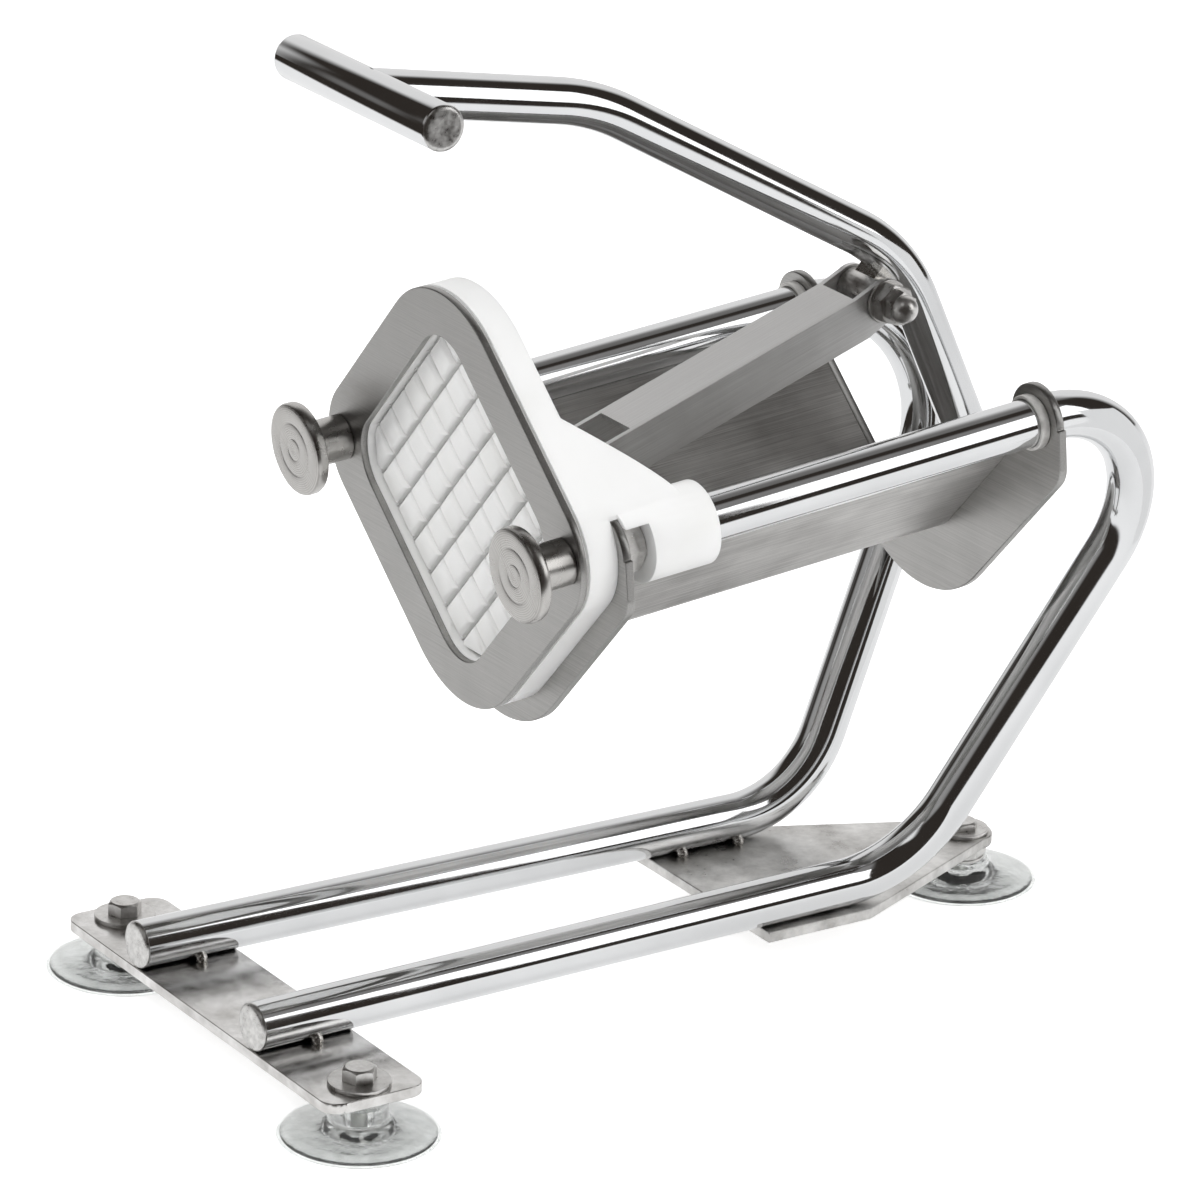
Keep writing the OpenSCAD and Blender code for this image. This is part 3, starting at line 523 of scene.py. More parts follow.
def bent_path(points, radii):
    """Points along straight runs with the inner corners rounded."""
    path = [points[0]]
    for before, corner, after, radius in zip(points, points[1:], points[2:], radii):
        a = (before - corner).normalized()
        c = (after - corner).normalized()
        bend = math.pi - a.angle(c)
        centre = corner + (a + c).normalized() * radius / math.cos(bend / 2)
        start = corner + a * radius * math.tan(bend / 2) - centre
        axis = c.cross(a).normalized()
        count = max(2, math.ceil(math.degrees(bend) / BEND_STEP))
        for i in range(count + 1):
            path.append(centre + Matrix.Rotation(bend * i / count, 3, axis) @ start)
    path.append(points[-1])
    return path


print("a point every", BEND_STEP, "degrees of bend")


# %% Geometry Nodes: a tube along a path
def new_tree(name, inputs):
    tree = bpy.data.node_groups.new(name, "GeometryNodeTree")
    tree.interface.new_socket("Geometry", in_out="INPUT", socket_type="NodeSocketGeometry")
    tree.interface.new_socket("Geometry", in_out="OUTPUT", socket_type="NodeSocketGeometry")
    for label, kind in inputs:
        tree.interface.new_socket(label, in_out="INPUT", socket_type="NodeSocket" + kind)
    return tree, tree.nodes.new("NodeGroupInput")


def end_tree(tree, geometry, material):
    """Every tree ends in plain mesh with its material set."""
    real = add(tree, "GeometryNodeRealizeInstances", {"Geometry": geometry})
    done = add(tree, "GeometryNodeSetMaterial", {
        "Geometry": real.outputs[0], "Material": material})
    add(tree, "NodeGroupOutput", {"Geometry": done.outputs[0]})
    print("tree", tree.name, "has", len(tree.nodes), "nodes")


def grown(tree, values, start=None):
    """Runs a tree on a mesh with the given inputs and returns the plain mesh."""
    maker = placed("maker", start or bpy.data.meshes.new("empty"))
    modifier = maker.modifiers.new("nodes", "NODES")
    modifier.node_group = tree
    for item in tree.interface.items_tree:
        if item.in_out == "INPUT" and item.name in values:
            modifier[item.identifier] = values[item.name]
    return settled(maker)


sweep, given = new_tree("tube_along_path", [
    ("Radius", "Float"), ("Sides", "Int"), ("Finish", "Material")])
line = add(sweep, "GeometryNodeMeshToCurve", {"Mesh": given.outputs["Geometry"]})
ring = add(sweep, "GeometryNodeCurvePrimitiveCircle", {
    "Resolution": given.outputs["Sides"], "Radius": given.outputs["Radius"]})
tube = add(sweep, "GeometryNodeCurveToMesh", {
    "Curve": line.outputs[0], "Profile Curve": ring.outputs[0], "Fill Caps": True})
end_tree(sweep, tube.outputs[0], given.outputs["Finish"])

TUBE_SIDES = 56


def tube_mesh(points, bends, radius):
    """A plated tube through the points, with the radius of each bend in millimetres."""
    path = bent_path(points, [bend * MM for bend in bends])
    chain = bpy.data.meshes.new("chain")
    chain.from_pydata(path, [(i, i + 1) for i in range(len(path) - 1)], [])
    return grown(sweep, {"Radius": radius * MM, "Sides": TUBE_SIDES, "Finish": chrome}, chain)


# %% The stand tubes
TUBE_R, BASE_Z = 6.35, 20.15
FRONT_X, FRONT_Y = 29.9, -127
REAR_X, REAR_Y = 26.1, 77.2
RAIL_X, RAIL_START, RAIL_END = 54, 24, 207
REAR_BENDS = (36, 32)


def base_run(side):
    """The ends of the straight run on the table, front first."""
    return (Vector((side * FRONT_X, FRONT_Y, BASE_Z)) * MM,
            Vector((side * REAR_X, REAR_Y, BASE_Z)) * MM)


for side, label in ((-1, "left"), (1, "right")):
    corners = [*base_run(side), rail_point(side * RAIL_X, RAIL_END, 0),
               rail_point(side * RAIL_X, RAIL_START, 0)]
    mesh = tube_mesh(corners, REAR_BENDS, TUBE_R)
    piece = new_piece("stand_tube_" + label, mesh, chrome, "stand",
                      ["frame_tube_" + label], angle=ON_ROUND)
    print(piece.name, len(mesh.polygons), "faces")

# %% [markdown]
# The front ends of the base tubes are closed with a welded disc that was ground flush, so the
# end has a small chamfer and a flat with a slight crown.

# %% End caps
cap_profile = [(0, -3.5), (4.8, -3.5), (4.8, -0.02), (6.34, -0.02), (6.34, 0.3), (6.1, 0.75),
               (5.5, 1.1), (4.2, 1.2), (2.0, 1.25), (0, 1.25)]
caps = []
for side in (-1, 1):
    start, end = base_run(side)
    turn = Vector((0, 0, 1)).rotation_difference((start - end).normalized())
    caps.append(lathe(cap_profile, Matrix.Translation(start) @ turn.to_matrix().to_4x4()))
new_piece("tube_end_discs", together("caps", caps), faced, "stand", ["tube_end_caps"])
print("two end discs")

# %% [markdown]
# ## The lever
#
# One tube with two bends and a bar across its end. The bar's ends are faced on a lathe and
# slightly chamfered, so they have the duller finish of a cut face.

# %% Lever tube and handle
LEVER_R, HANDLE_HALF, LEVER_BENDS = 6.1, 36.5, (49, 64)
# a face of the bar belongs to its end when its normal leans this far along the bar
ENDWAYS = 0.5
# back along the rails and up from their axis: the tip, then the pivot and the two bends
LEVER_TIP = rail_point(0, -16.1, 112.8)
lever_points = [PIVOT, rail_point(0, 140.4, 32.6), rail_point(0, 48.8, 95.1), LEVER_TIP]
lever_mesh = tube_mesh(lever_points, LEVER_BENDS, LEVER_R)
new_piece("lever_bent_tube", lever_mesh, chrome, "lever", ["lever_tube"], angle=ON_ROUND)

bar_end = [(0, 0.25), (2.3, 0.2), (4.6, 0), (5.3, 0.12), (5.85, 0.6), (6.0, 1.2)]
bar_profile = ([(r, -HANDLE_HALF + in_by) for r, in_by in bar_end]
               + [(r, HANDLE_HALF - in_by) for r, in_by in reversed(bar_end)])
bar_mesh = lathe(bar_profile, Matrix.Translation(LEVER_TIP) @ ACROSS, steps=72)
new_piece("t_handle", bar_mesh, chrome, "lever", ["handle_bar"])
bar_mesh.materials.append(faced)
for face in bar_mesh.polygons:
    if abs(face.normal.x) > ENDWAYS:
        face.material_index = 1
print("lever of", len(lever_mesh.polygons), "faces and its bar")

# %% [markdown]
# ## Suction cups
#
# Soft cups are thin at the rim and thick in the middle. The lathe profile follows the
# construction solid, with rounder shoulders, so that light bends softly through them.

# %% Cups
cup_dish = [(0, 1.2), (6, 1.1), (15.5, 0.8), (18.4, 0.35), (19.5, 0.0), (20.6, 0.0),
            (20.85, 0.25), (20.5, 0.75), (18.6, 1.6), (15.6, 2.4), (12.2, 3.15),
            (9.6, 3.8), (8.2, 4.5), (7.6, 5.3)]
front_neck = [(7.6, 9.9), (7.3, 10.35), (6.6, 10.5), (5.9, 10.35), (5.6, 9.9), (5.6, 8.2),
              (2.6, 8.2), (2.55, 2.7), (0, 2.7)]
rear_neck = [(7.6, 5.8), (7.2, 6.3), (6.6, 6.4), (2.6, 6.4), (2.55, 2.7), (0, 2.7)]
CUP_X, FRONT_CUP_Y, REAR_CUP_Y = 60.4, -114.3, 114
for name, x, y, neck in (("left", -CUP_X, FRONT_CUP_Y, front_neck),
                         ("right", CUP_X, FRONT_CUP_Y, front_neck),
                         ("rear", 0, REAR_CUP_Y, rear_neck)):
    mesh = lathe(cup_dish + neck, shifted(x, y, 0), steps=80)
    new_piece("clear_cup_" + name, mesh, clear, "stand", ["suction_cup_" + name],
              angle=ON_ROUND)
print("three cups")

# %% [markdown]
# ## Knobs
#
# Turned from bar: a collar, a disc with broken edges, two shallow grooves in its face and a
# centre mark from the tailstock.

# %% Turned knobs
knob_profile = [(0, 0.4), (3.1, 0.4), (3.1, 0.05), (5.8, 0.05), (6.1, 0.35), (6.1, 10.7),
                (6.3, 11.15), (6.8, 11.3), (11.4, 11.3), (12.1, 11.5), (12.4, 12.1),
                (12.4, 13.9), (12.1, 14.6), (11.3, 14.9), (7.4, 14.9), (7.2, 14.82),
                (7.0, 14.9), (3.2, 14.9), (3.0, 14.82), (2.8, 14.9), (1.0, 14.9),
                (0.7, 14.84), (0, 14.84)]
for side, label in ((-1, "left"), (1, "right")):
    axis = HEAD @ shifted(side * RAIL_X, 0, 0)
    mesh = lathe(knob_profile, axis @ TO_FRONT, steps=96)
    finish = turned("turned_stainless_" + label, axis.to_translation())
    new_piece("turned_knob_" + label, mesh, finish, "knob_" + label[0],
              ["knob_" + label], angle=ON_FACETS)
print("two knobs")

# %% [markdown]
# ## The pusher
#
# A plate with seven by seven posts, one for each cell of the blade grid, so that the posts can
# pass between the blades. Each post is a small block with its front edges taken off. The posts
# are one block, set out on a grid by Geometry Nodes. The four corner posts are smaller, because
# the window behind the blades has round corners.

# %% One post
CELL, CELLS = 10.06, 7
POST_HALF, POST_DEEP, POST_CUT = 4.7, 7.8, 9.0
# how far the grid's centre lies below the axis of the rails
GRID_DROP = 0.8


def grid_turn(degrees):
    """Turns the grid round the middle of the window, in the frame of the head."""
    return shifted(0, 0, -GRID_DROP) @ Matrix.Rotation(math.radians(degrees), 4, "Y")


def post_object(name, cut):
    """A post that points to -Y, with one corner cut off where cut is above zero."""
    h = POST_HALF
    tip = [(h, h - cut), (h - cut, h)] if cut else [(h, h)]
    outline = [(-h, -h), (h, -h), *tip, (-h, h)]
    # each ring is the outline at a size and a depth: the front has two small facets
    rings = [(1.0, 0.0), (1.0, -POST_DEEP + 1.5), (0.93, -POST_DEEP + 0.9),
             (0.72, -POST_DEEP + 0.12), (0.64, -POST_DEEP)]
    return placed(name, loft(name, [[(x * k, y, z * k) for x, z in outline] for k, y in rings]))


print("posts", 2 * POST_HALF, "mm wide in cells of", CELL, "mm")

# %% Geometry Nodes: posts on a grid
# the corners lie at 0.71 of the grid's length from its middle, and the points beside them at 0.6
CORNER_REACH = 0.69
posts, given = new_tree("posts_on_a_grid", [
    ("Post", "Object"), ("Corner Post", "Object"), ("Cells", "Int"), ("Pitch", "Float"),
    ("Finish", "Material")])
span = add(posts, "ShaderNodeMath", {0: given.outputs["Cells"], 1: 1.0}, operation="SUBTRACT")
length = add(posts, "ShaderNodeMath", {0: span.outputs[0], 1: given.outputs["Pitch"]},
             operation="MULTIPLY")
grid = add(posts, "GeometryNodeMeshGrid", {
    "Size X": length.outputs[0], "Size Y": length.outputs[0],
    "Vertices X": given.outputs["Cells"], "Vertices Y": given.outputs["Cells"]})
upright = add(posts, "GeometryNodeTransform", {
    "Geometry": grid.outputs[0], "Rotation": (QUARTER, 0, 0)})
place = add(posts, "GeometryNodeInputPosition")
reach = add(posts, "ShaderNodeVectorMath", {0: place.outputs[0]}, operation="LENGTH")
limit = add(posts, "ShaderNodeMath", {0: length.outputs[0], 1: CORNER_REACH},
            operation="MULTIPLY")
corner = add(posts, "FunctionNodeCompare", {0: reach.outputs["Value"], 1: limit.outputs[0]},
             operation="GREATER_THAN")
inner = add(posts, "FunctionNodeBooleanMath", {0: corner.outputs[0]}, operation="NOT")
block = add(posts, "GeometryNodeObjectInfo", {"Object": given.outputs["Post"]})
small = add(posts, "GeometryNodeObjectInfo", {"Object": given.outputs["Corner Post"]})
plain = add(posts, "GeometryNodeInstanceOnPoints", {
    "Points": upright.outputs[0], "Selection": inner.outputs[0],
    "Instance": block.outputs["Geometry"]})
# each corner post turns about Y until its cut corner points outwards
parts = add(posts, "ShaderNodeSeparateXYZ", {0: place.outputs[0]})
angle = add(posts, "ShaderNodeMath", {0: parts.outputs["X"], 1: parts.outputs["Z"]},
            operation="ARCTAN2")
eighth = add(posts, "ShaderNodeMath", {0: angle.outputs[0], 1: QUARTER / 2},
             operation="SUBTRACT")
facing = add(posts, "ShaderNodeCombineXYZ", {"Y": eighth.outputs[0]})
cut = add(posts, "GeometryNodeInstanceOnPoints", {
    "Points": upright.outputs[0], "Selection": corner.outputs[0],
    "Instance": small.outputs["Geometry"], "Rotation": facing.outputs[0]})
both = add(posts, "GeometryNodeJoinGeometry", {"Geometry": [plain.outputs[0], cut.outputs[0]]})
end_tree(posts, both.outputs[0], given.outputs["Finish"])

# %% The posts of the pusher
POST_ROOT, PLATE_FRONT, PLATE_BACK = 11.3, 11.2, 16.5
PLATE_HALF, PLATE_CORNER = CELL * CELLS / 2 - 0.75, 9
SAME_PLANE = 1e-7

whole_post = post_object("post", 0)
corner_post = post_object("corner_post", POST_CUT)
post_mesh = grown(posts, {"Post": whole_post, "Corner Post": corner_post, "Cells": CELLS,
                          "Pitch": CELL * MM, "Finish": white})
for maker in (whole_post, corner_post):
    bpy.data.objects.remove(maker)

# the outer posts are cut flush with the edge of the plate
shape = bmesh.new()
shape.from_mesh(post_mesh)
for side in (Vector((1, 0, 0)), Vector((-1, 0, 0)), Vector((0, 0, 1)), Vector((0, 0, -1))):
    cut_by = bmesh.ops.bisect_plane(
        shape, geom=shape.verts[:] + shape.edges[:] + shape.faces[:], dist=SAME_PLANE,
        plane_co=side * PLATE_HALF * MM, plane_no=side, clear_outer=True)
    rims = [g for g in cut_by["geom_cut"] if isinstance(g, bmesh.types.BMEdge)]
    bmesh.ops.holes_fill(shape, edges=rims, sides=0)
bmesh.ops.recalc_face_normals(shape, faces=shape.faces)
print("open edges left in the posts:", sum(1 for e in shape.edges if len(e.link_faces) != 2))
shape.to_mesh(post_mesh)
shape.free()
post_mesh.transform(HEAD @ shifted(0, POST_ROOT, 0) @ grid_turn(45))

# %% The plate behind them
h = PLATE_HALF
c = h - PLATE_CORNER
outline = [(h, -c), (h, c), (c, h), (-c, h), (-h, c), (-h, -c), (-c, -h), (c, -h)]
plate_mesh = loft("plate", [[(x, y, z) for x, z in outline] for y in (PLATE_FRONT, PLATE_BACK)],
                  HEAD @ grid_turn(45))
pusher_mesh = together("pusher", (post_mesh, plate_mesh))
new_piece("pusher_plate_and_posts", pusher_mesh, white, "pusher", ["pusher_block"],
          angle=ON_FACETS)
print("pusher of", len(pusher_mesh.polygons), "faces")

# %% [markdown]
# ## Blades
#
# Thin stainless strips, ground on their front edge, six one way and six the other. One strip is
# set out along a line by Geometry Nodes, once for each direction.

# %% Geometry Nodes: strips in a row
strips, given = new_tree("strips_in_a_row", [
    ("Strip", "Object"), ("Count", "Int"), ("Pitch", "Float"), ("Finish", "Material")])
gap = add(strips, "ShaderNodeCombineXYZ", {"X": given.outputs["Pitch"]})
less = add(strips, "ShaderNodeMath", {0: given.outputs["Count"], 1: 1.0}, operation="SUBTRACT")
wide = add(strips, "ShaderNodeMath", {0: less.outputs[0], 1: given.outputs["Pitch"]},
           operation="MULTIPLY")
first = add(strips, "ShaderNodeMath", {0: wide.outputs[0], 1: -0.5}, operation="MULTIPLY")
begin = add(strips, "ShaderNodeCombineXYZ", {"X": first.outputs[0]})
row = add(strips, "GeometryNodeMeshLine", {
    "Count": given.outputs["Count"], "Start Location": begin.outputs[0],
    "Offset": gap.outputs[0]})
strip = add(strips, "GeometryNodeObjectInfo", {"Object": given.outputs["Strip"]})
laid = add(strips, "GeometryNodeInstanceOnPoints", {
    "Points": row.outputs[0], "Instance": strip.outputs["Geometry"]})
end_tree(strips, laid.outputs[0], given.outputs["Finish"])

# %% Two sets of blades
BLADE_HALF = 36.7
# across and back from the cutting edge
blade_section = [(0, 0), (0.25, 0.7), (0.25, 3.0), (-0.25, 3.0), (-0.25, 0.7)]
# each set with its turn in degrees and the depth of its cutting edges behind the head's face
for name, turn, front in (("rising", 45, 4.2), ("falling", -45, 7.2)):
    maker = placed("strip", loft("strip", [
        [(x, front + y, z) for x, y in blade_section] for z in (-BLADE_HALF, BLADE_HALF)]))
    mesh = grown(strips, {"Strip": maker, "Count": CELLS - 1, "Pitch": CELL * MM,
                          "Finish": blade_steel})
    bpy.data.objects.remove(maker)
    mesh.transform(HEAD @ grid_turn(turn))
    new_piece("blade_set_" + name, mesh, blade_steel, "stand", ["blades_" + name],
              angle=ON_STRIP)
print("two sets of", CELLS - 1, "blades")

# %% [markdown]
# ## Screw threads
#
# A thread is a ridge that climbs round a rod. A tree sweeps a small triangle along a spiral and
# adds the rod, with the pitch and length as inputs. The studs of the head are M6, with a pitch
# of 1 mm. The radius of the triangle is 0.45 of the pitch, which leaves a narrow root.

# %% Geometry Nodes: a threaded rod
RIDGE = 0.45
SPIRAL_STEPS, RIDGE_SIDES, ROD_SIDES = 20, 3, 24
threads, given = new_tree("threaded_rod", [
    ("Radius", "Float"), ("Pitch", "Float"), ("Length", "Float"), ("Finish", "Material")])
turns = add(threads, "ShaderNodeMath", {0: given.outputs["Length"], 1: given.outputs["Pitch"]},
            operation="DIVIDE")
ridge = add(threads, "ShaderNodeMath", {0: given.outputs["Pitch"], 1: RIDGE},
            operation="MULTIPLY")
core = add(threads, "ShaderNodeMath", {0: given.outputs["Radius"], 1: ridge.outputs[0]},
           operation="SUBTRACT")
spiral = add(threads, "GeometryNodeCurveSpiral", {
    "Resolution": SPIRAL_STEPS, "Rotations": turns.outputs[0],
    "Start Radius": core.outputs[0], "End Radius": core.outputs[0],
    "Height": given.outputs["Length"]})
triangle = add(threads, "GeometryNodeCurvePrimitiveCircle", {
    "Resolution": RIDGE_SIDES, "Radius": ridge.outputs[0]})
wound = add(threads, "GeometryNodeCurveToMesh", {
    "Curve": spiral.outputs[0], "Profile Curve": triangle.outputs[0], "Fill Caps": True})
rod = add(threads, "GeometryNodeMeshCylinder", {
    "Vertices": ROD_SIDES, "Radius": core.outputs[0], "Depth": given.outputs["Length"]})
half_up = add(threads, "ShaderNodeMath", {0: given.outputs["Length"], 1: 0.5},
              operation="MULTIPLY")
lift = add(threads, "ShaderNodeCombineXYZ", {"Z": half_up.outputs[0]})
raised = add(threads, "GeometryNodeTransform", {
    "Geometry": rod.outputs["Mesh"], "Translation": lift.outputs[0]})
joined = add(threads, "GeometryNodeJoinGeometry", {
    "Geometry": [wound.outputs[0], raised.outputs[0]]})
end_tree(threads, joined.outputs[0], given.outputs["Finish"])

# %% Studs in the head
STUD = {"Radius": 2.95 * MM, "Pitch": 1.0 * MM, "Length": 35 * MM, "Finish": zinc}
STUD_FRONT = -11.2
plug = [(0, 0), (4.8, 0), (4.8, 8), (0, 8)]
studs = []
for side in (-1, 1):
    stud = grown(threads, STUD)
    stud.transform(HEAD @ shifted(side * RAIL_X, STUD_FRONT, 0) @ TO_BACK)
    in_tube = HEAD @ shifted(side * RAIL_X, RAIL_START, 0) @ TO_BACK
    studs += [stud, lathe(plug, in_tube, steps=32)]
stud_mesh = together("studs", studs)
new_piece("threaded_studs", stud_mesh, zinc, "stand", ["clamp_studs"], angle=ON_FACETS)
print("threaded studs of", len(stud_mesh.polygons), "faces")

# %% [markdown]
# ## Sheet and plate
#
# These are the construction solids with broken edges. Sheet is sheared and tumbled, so its edges
# are broken by a few tenths of a millimetre.

# %% Broken edges
# node, finish, width of the broken edge, slot of the record
sheet_work = (
    ("front_plate", satin_plate, 0.5, "chrome"),
    ("rear_plate", mill_clouds_and_painted_sheen_plate, 0.4, "brushed"),
    ("trough", trough_sheet, 0.15, "brushed"),
    ("trough_rear_plate", sheet_across, 0.35, "brushed"),
    ("trough_front_plate", sheet_across, 0.35, "brushed"),
    ("head_frame", sheet_across, 0.3, "brushed"),
    ("pivot_bracket", sheet, 0.25, "brushed"),
    ("pusher_yoke", sheet, 0.4, "brushed"),
    ("rail_collars", dull_zinc, 0.4, "chrome"),
    ("lever_hub", chrome, 0.4, "chrome"),
    ("lever_sleeve", zinc, 0.3, "brushed"),
)
body_of_node = {n: body for body, members in
                frame["record"]["behaviour"]["bodies"].items() for n in members}
for name, finish, width, slot in sheet_work:
    piece = broken(name, finish, body_of_node[name], width)
    print(piece.name, len(piece.data.polygons), "faces")

# %% [markdown]
# ## The folded link
#
# The link is one strip, folded twice into a channel. Its two long outer edges are folds, so they
# are round, where its cut edges are sharp. The folds are found by their length and by the faces
# that meet there, one on top and one at the side, and only they are bevelled.

# %% Two folds
FOLD, FOLD_STEPS, SHORTEST_FOLD = 1.3, 5, 40
# at least this far up on the top, this far sideways on a side, and no lower than this on either
UPWARDS, SIDEWAYS, DOWN_AT_MOST = 0.7, 0.9, -0.3


def is_fold(edge):
    """A long outer edge between a side and the top of the channel."""
    if len(edge.link_faces) != 2 or edge.calc_length() <= SHORTEST_FOLD * MM:
        return False
    a, b = (face.normal for face in edge.link_faces)
    return (min(a.z, b.z) > DOWN_AT_MOST and max(a.z, b.z) > UPWARDS
            and max(abs(a.x), abs(b.x)) > SIDEWAYS and edge.calc_face_angle_signed() > 0)


fold_mesh = merged_copy("link_channel")
shape = bmesh.new()
shape.from_mesh(fold_mesh)
folds = [edge for edge in shape.edges if is_fold(edge)]
print("folds found:", len(folds))
bmesh.ops.bevel(shape, geom=folds, offset=FOLD * MM, offset_type="OFFSET",
                segments=FOLD_STEPS, profile=0.5, affect="EDGES", clamp_overlap=True)
shape.to_mesh(fold_mesh)
shape.free()
new_piece("folded_link", fold_mesh, link_sheet, "link", ["link_channel"],
          angle=ON_FACETS)

# %% [markdown]
# ## Moulded pieces and fasteners
#
# A moulded block has rounder edges than sheet, because a mould can't fill a sharp corner. Bolts,
# nuts, pins and washers are forged or stamped, and their edges are broken by tumbling. Weld
# beads have no edges, so they keep their solids.

# %% Moulded pieces
broken("head_block", white, "stand", 0.7, 3)
broken("pusher_shoe", white, "pusher", 0.6, 3)
broken("blade_holder", white, "stand", 0.15, 2)
print("three moulded pieces")

# %% Fasteners and welds
for name in ("foot_bolts", "foot_washers", "foot_nuts", "rear_foot_stack", "pivot_bolt",
             "pivot_nut", "clamp_nuts", "pusher_screws", "link_pin", "link_pin_rings",
             "link_bolt", "link_washers", "link_nut", "acorn_nut"):
    broken(name, zinc, body_of_node[name], 0.15)
for name in ("weld_beads", "lever_weld"):
    keep(name, weld_metal)
print("fasteners and welds finished")

# %% [markdown]
# ## The studio
#
# Bright metal is only as good as what it mirrors, so the studio is laid out like a table shot. The
# object stands on a white table that ends a little way in front of it. The camera itself, and what
# is seen through the clear cups, gets an even white behind the object. Mirrors see the table as an
# even white up to its edge, and the dark room beyond.

# %% What each kind of ray sees
WHITE = srgb("FFFFFF")
# the dark of the room is a warm one
WARM = srgb("FFECDD")
# levels of the room: the table's glow, the dark room in a mirror, and the soft fill
FLOOR_GLOW, ROOM_DARK, FILL = 0.6, 0.032, 0.44


def window(tree, value, low, high, soft):
    """One between two values, falling softly to nothing outside them."""
    rise = add(tree, "ShaderNodeMapRange", {
        "Value": value, "From Min": low - soft, "From Max": low + soft},
        interpolation_type="SMOOTHSTEP")
    fall = add(tree, "ShaderNodeMapRange", {
        "Value": value, "From Min": high - soft, "From Max": high + soft,
        "To Min": 1.0, "To Max": 0.0}, interpolation_type="SMOOTHSTEP")
    return add(tree, "ShaderNodeMath", {0: rise.outputs[0], 1: fall.outputs[0]},
               operation="MULTIPLY").outputs[0]


def by_ray(tree, lighting, mirrored, seen):
    """One shader as light on the object, one in its mirrors, and one for the camera."""
    path = add(tree, "ShaderNodeLightPath")
    direct = add(tree, "ShaderNodeMath", {
        0: path.outputs["Is Camera Ray"], 1: path.outputs["Is Transmission Ray"]},
        operation="MAXIMUM")
    first = add(tree, "ShaderNodeMixShader", {
        0: path.outputs["Is Glossy Ray"], 1: lighting.outputs[0], 2: mirrored.outputs[0]})
    return add(tree, "ShaderNodeMixShader", {
        0: direct.outputs[0], 1: first.outputs[0], 2: seen.outputs[0]})


def stage_sheet(name, corners, material):
    """A flat sheet with four corners."""
    mesh = bpy.data.meshes.new(name)
    mesh.from_pydata(corners, [], [(0, 1, 2, 3)])
    mesh.materials.append(material)
    return placed(name, mesh)


print("levels: table", FLOOR_GLOW, "dark", ROOM_DARK, "fill", FILL)

# %% Floor
FLOOR_HALF = 6.0
# how far the table reaches towards the camera and to the front left, and how soft its edges are
TABLE_NEAR, NEAR_SOFT = 0.29, 0.05
TABLE_FRONT, FRONT_SOFT = -0.42, 0.06
NO_END = 20
TABLE_TONE, MIRRORED_TONE = "F2F2F2", "A6A6A6"

material, tree = new_material("white_table")
spot = add(tree, "ShaderNodeNewGeometry")
towards = add(tree, "ShaderNodeVectorMath", {
    0: spot.outputs["Position"], 1: (math.sin(AZIMUTH), -math.cos(AZIMUTH), 0)},
    operation="DOT_PRODUCT")
along = add(tree, "ShaderNodeSeparateXYZ", {0: spot.outputs["Position"]})
table = add(tree, "ShaderNodeMath", {
    0: window(tree, towards.outputs["Value"], -NO_END, TABLE_NEAR, NEAR_SOFT),
    1: window(tree, along.outputs["Y"], TABLE_FRONT, NO_END, FRONT_SOFT)},
    operation="MULTIPLY")
matt = add(tree, "ShaderNodeBsdfDiffuse", {"Color": srgb(TABLE_TONE)})
glow = add(tree, "ShaderNodeEmission", {"Color": WHITE, "Strength": FLOOR_GLOW})
lifted = add(tree, "ShaderNodeAddShader", {0: matt.outputs[0], 1: glow.outputs[0]})
# in a mirror the table is an even white, just below the level at which it would clip
even = add(tree, "ShaderNodeBsdfDiffuse", {"Color": srgb(MIRRORED_TONE)})
plain = add(tree, "ShaderNodeAddShader", {0: even.outputs[0], 1: glow.outputs[0]})
beyond = add(tree, "ShaderNodeEmission", {"Color": WARM, "Strength": ROOM_DARK})
mirrored = add(tree, "ShaderNodeMixShader", {
    0: table.outputs[0], 1: beyond.outputs[0], 2: plain.outputs[0]})
chosen = by_ray(tree, matt, mirrored, lifted)
add(tree, "ShaderNodeOutputMaterial", {"Surface": chosen.outputs[0]})
floor = stage_sheet("floor", [(x * FLOOR_HALF, y * FLOOR_HALF, 0) for x, y in (
    (-1, -1), (1, -1), (1, 1), (-1, 1))], material)
print("table of", 2 * FLOOR_HALF, "m")

# %% [markdown]
# **The room.** A mirror also sees a large pale sweep on the left, smaller soft screens in front
# and above, and warm darkness between them. A plated tube then shows a white line, a dark line
# under it and the white table below. The screens are patches of the world with soft edges, which
# only mirrors see. On everything else the world is a soft even fill.

# %% Surround
# azimuth from and to, elevation from and to, softness, level: azimuth 0 is the front, 90 the right
SURROUND = (
    (-165, -90, -30, 50, 10, 0.8),
    (-90, -70, -10, 18, 6, 0.6),
    (-40, 22, 12, 42, 7, 0.3),
    (-62, -46, 0, 13, 5, 0.13),
    (14, 48, 46, 66, 6, 0.85),
    (116, 148, 42, 66, 7, 0.2),
    (-178, -110, 50, 68, 8, 0.15),
)
world = bpy.data.worlds.new("studio")
scene.world = world
world.use_nodes = True
tree = world.node_tree
tree.nodes.clear()
direction = add(tree, "ShaderNodeTexCoord")
parts = add(tree, "ShaderNodeSeparateXYZ", {0: direction.outputs["Generated"]})
ahead = add(tree, "ShaderNodeMath", {0: parts.outputs["Y"], 1: -1.0}, operation="MULTIPLY")
around = add(tree, "ShaderNodeMath", {0: parts.outputs["X"], 1: ahead.outputs[0]},
             operation="ARCTAN2")
azimuth = add(tree, "ShaderNodeMath", {0: around.outputs[0]}, operation="DEGREES")
rise = add(tree, "ShaderNodeMath", {0: parts.outputs["Z"]}, operation="ARCSINE")
elevation = add(tree, "ShaderNodeMath", {0: rise.outputs[0]}, operation="DEGREES")
total = 0.0
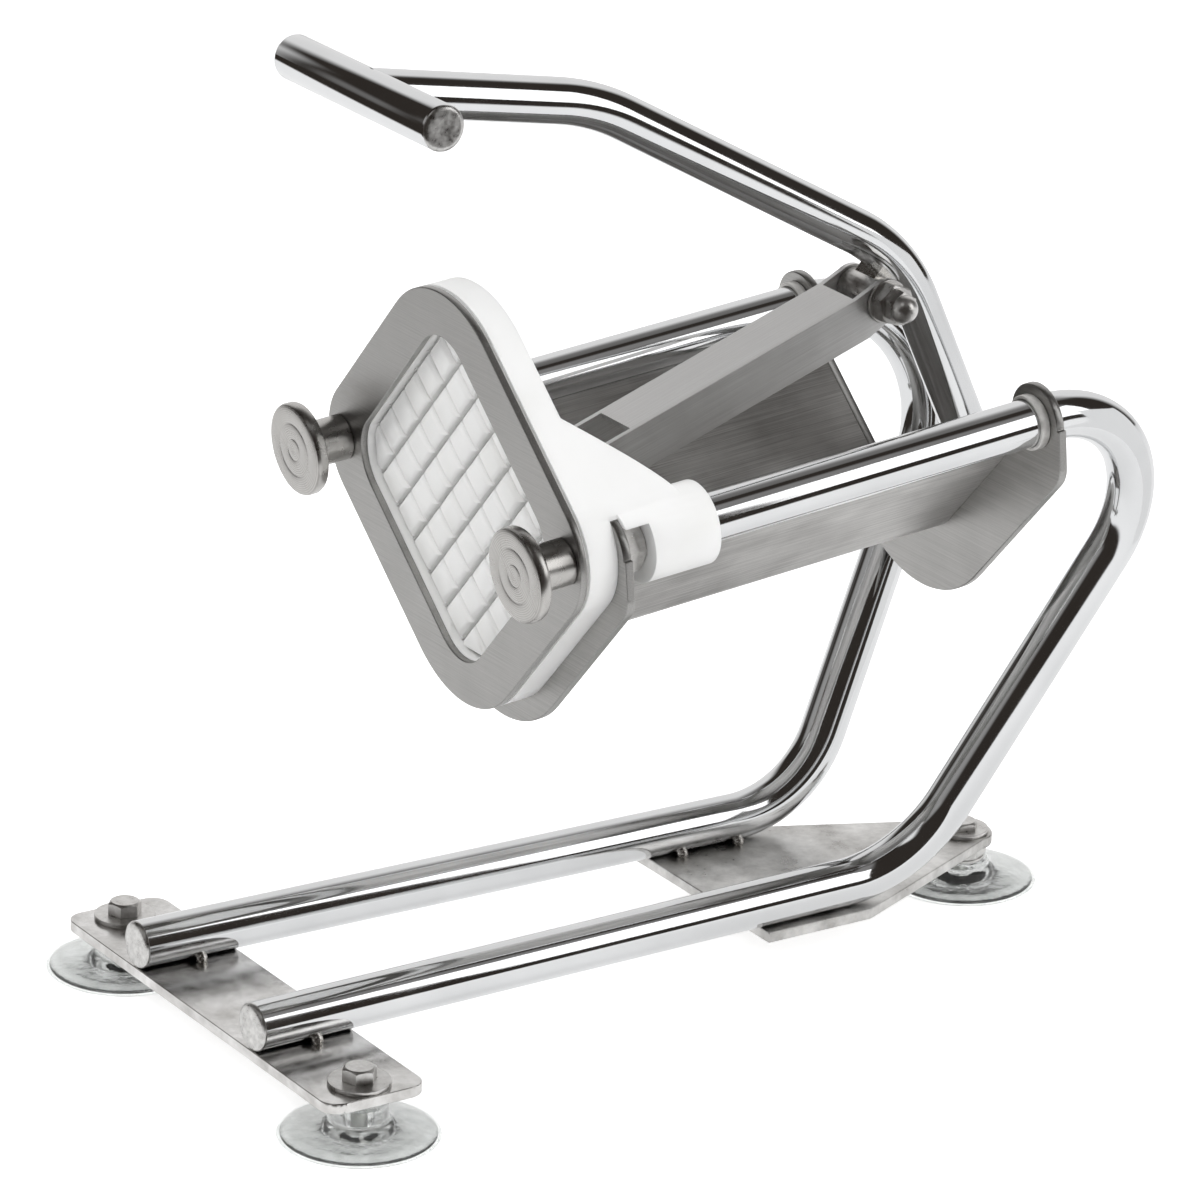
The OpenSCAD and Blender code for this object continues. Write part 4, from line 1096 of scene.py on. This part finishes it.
for start, end, low, high, soft, strength in SURROUND:
    patch = add(tree, "ShaderNodeMath", {
        0: window(tree, azimuth.outputs[0], start, end, soft),
        1: window(tree, elevation.outputs[0], low, high, soft)}, operation="MULTIPLY")
    total = add(tree, "ShaderNodeMath", {
        0: patch.outputs[0], 1: strength, 2: total}, operation="MULTIPLY_ADD").outputs[0]
bright = add(tree, "ShaderNodeBackground", {"Color": WHITE, "Strength": total})
dim = add(tree, "ShaderNodeBackground", {"Color": WARM, "Strength": ROOM_DARK})
metal_view = add(tree, "ShaderNodeAddShader", {0: bright.outputs[0], 1: dim.outputs[0]})
plain_view = add(tree, "ShaderNodeBackground", {"Color": WHITE, "Strength": 1.0})
fill_light = add(tree, "ShaderNodeBackground", {"Color": WHITE, "Strength": FILL})
chosen = by_ray(tree, fill_light, metal_view, plain_view)
add(tree, "ShaderNodeOutputWorld", {"Surface": chosen.outputs[0]})
print("room with", len(SURROUND), "patches of light")

# %% [markdown]
# **Lamps.** One tall soft lamp stands behind the object on the right. Its lower edge is as high
# as the T handle, and it draws the bright line along every tube. The other three only light, and
# no metal mirrors them. A small white card stands behind the right rear bend, where only the
# metal sees it, and lightens the outside of the bend.

# %% Lamps
MIDDLE = (0, 0, 0.12)
# place, width and height, power, the point that it faces, and whether metal mirrors it
LAMPS = (
    ("soft_lamp", (0.745, 0.687, 0.65), (0.5, 0.8), 2.1, (0, 0, 0.65), True),
    ("key", (-0.7, -1.0, 1.5), (0.9, 0.7), 14, MIDDLE, False),
    ("top", (0.1, 0.5, 1.8), (1.2, 0.8), 7, MIDDLE, False),
    ("side", (1.4, -0.2, 0.7), (0.9, 0.9), 5.5, MIDDLE, False),
)
for name, place, size, power, aim, mirrored in LAMPS:
    light = bpy.data.lights.new(name, "AREA")
    light.shape = "RECTANGLE"
    light.size, light.size_y = size
    light.energy = power
    lamp = placed(name, light)
    lamp.location = place
    lamp.rotation_euler = (Vector(aim) - Vector(place)).to_track_quat("-Z", "Y").to_euler()
    lamp.visible_glossy = mirrored
print(len(LAMPS), "lamps")

# %% Card
CARD_FOOT, CARD_HALF, CARD_TOP, CARD_LEVEL = Vector((0.114, 0.259, 0)), 0.075, 0.205, 0.86
CARD_TURN = math.radians(30)
aside = Vector((math.cos(CARD_TURN), -math.sin(CARD_TURN), 0)) * CARD_HALF
tall = Vector((0, 0, CARD_TOP))
material, tree = new_material("white_card")
light = add(tree, "ShaderNodeEmission", {"Color": WHITE, "Strength": CARD_LEVEL})
add(tree, "ShaderNodeOutputMaterial", {"Surface": light.outputs[0]})
card = stage_sheet("card", [CARD_FOOT - aside, CARD_FOOT + aside, CARD_FOOT + aside + tall,
                            CARD_FOOT - aside + tall], material)
card.visible_camera = card.visible_diffuse = card.visible_shadow = False
card.visible_transmission = False
print("a card", 2 * CARD_HALF, "m wide")
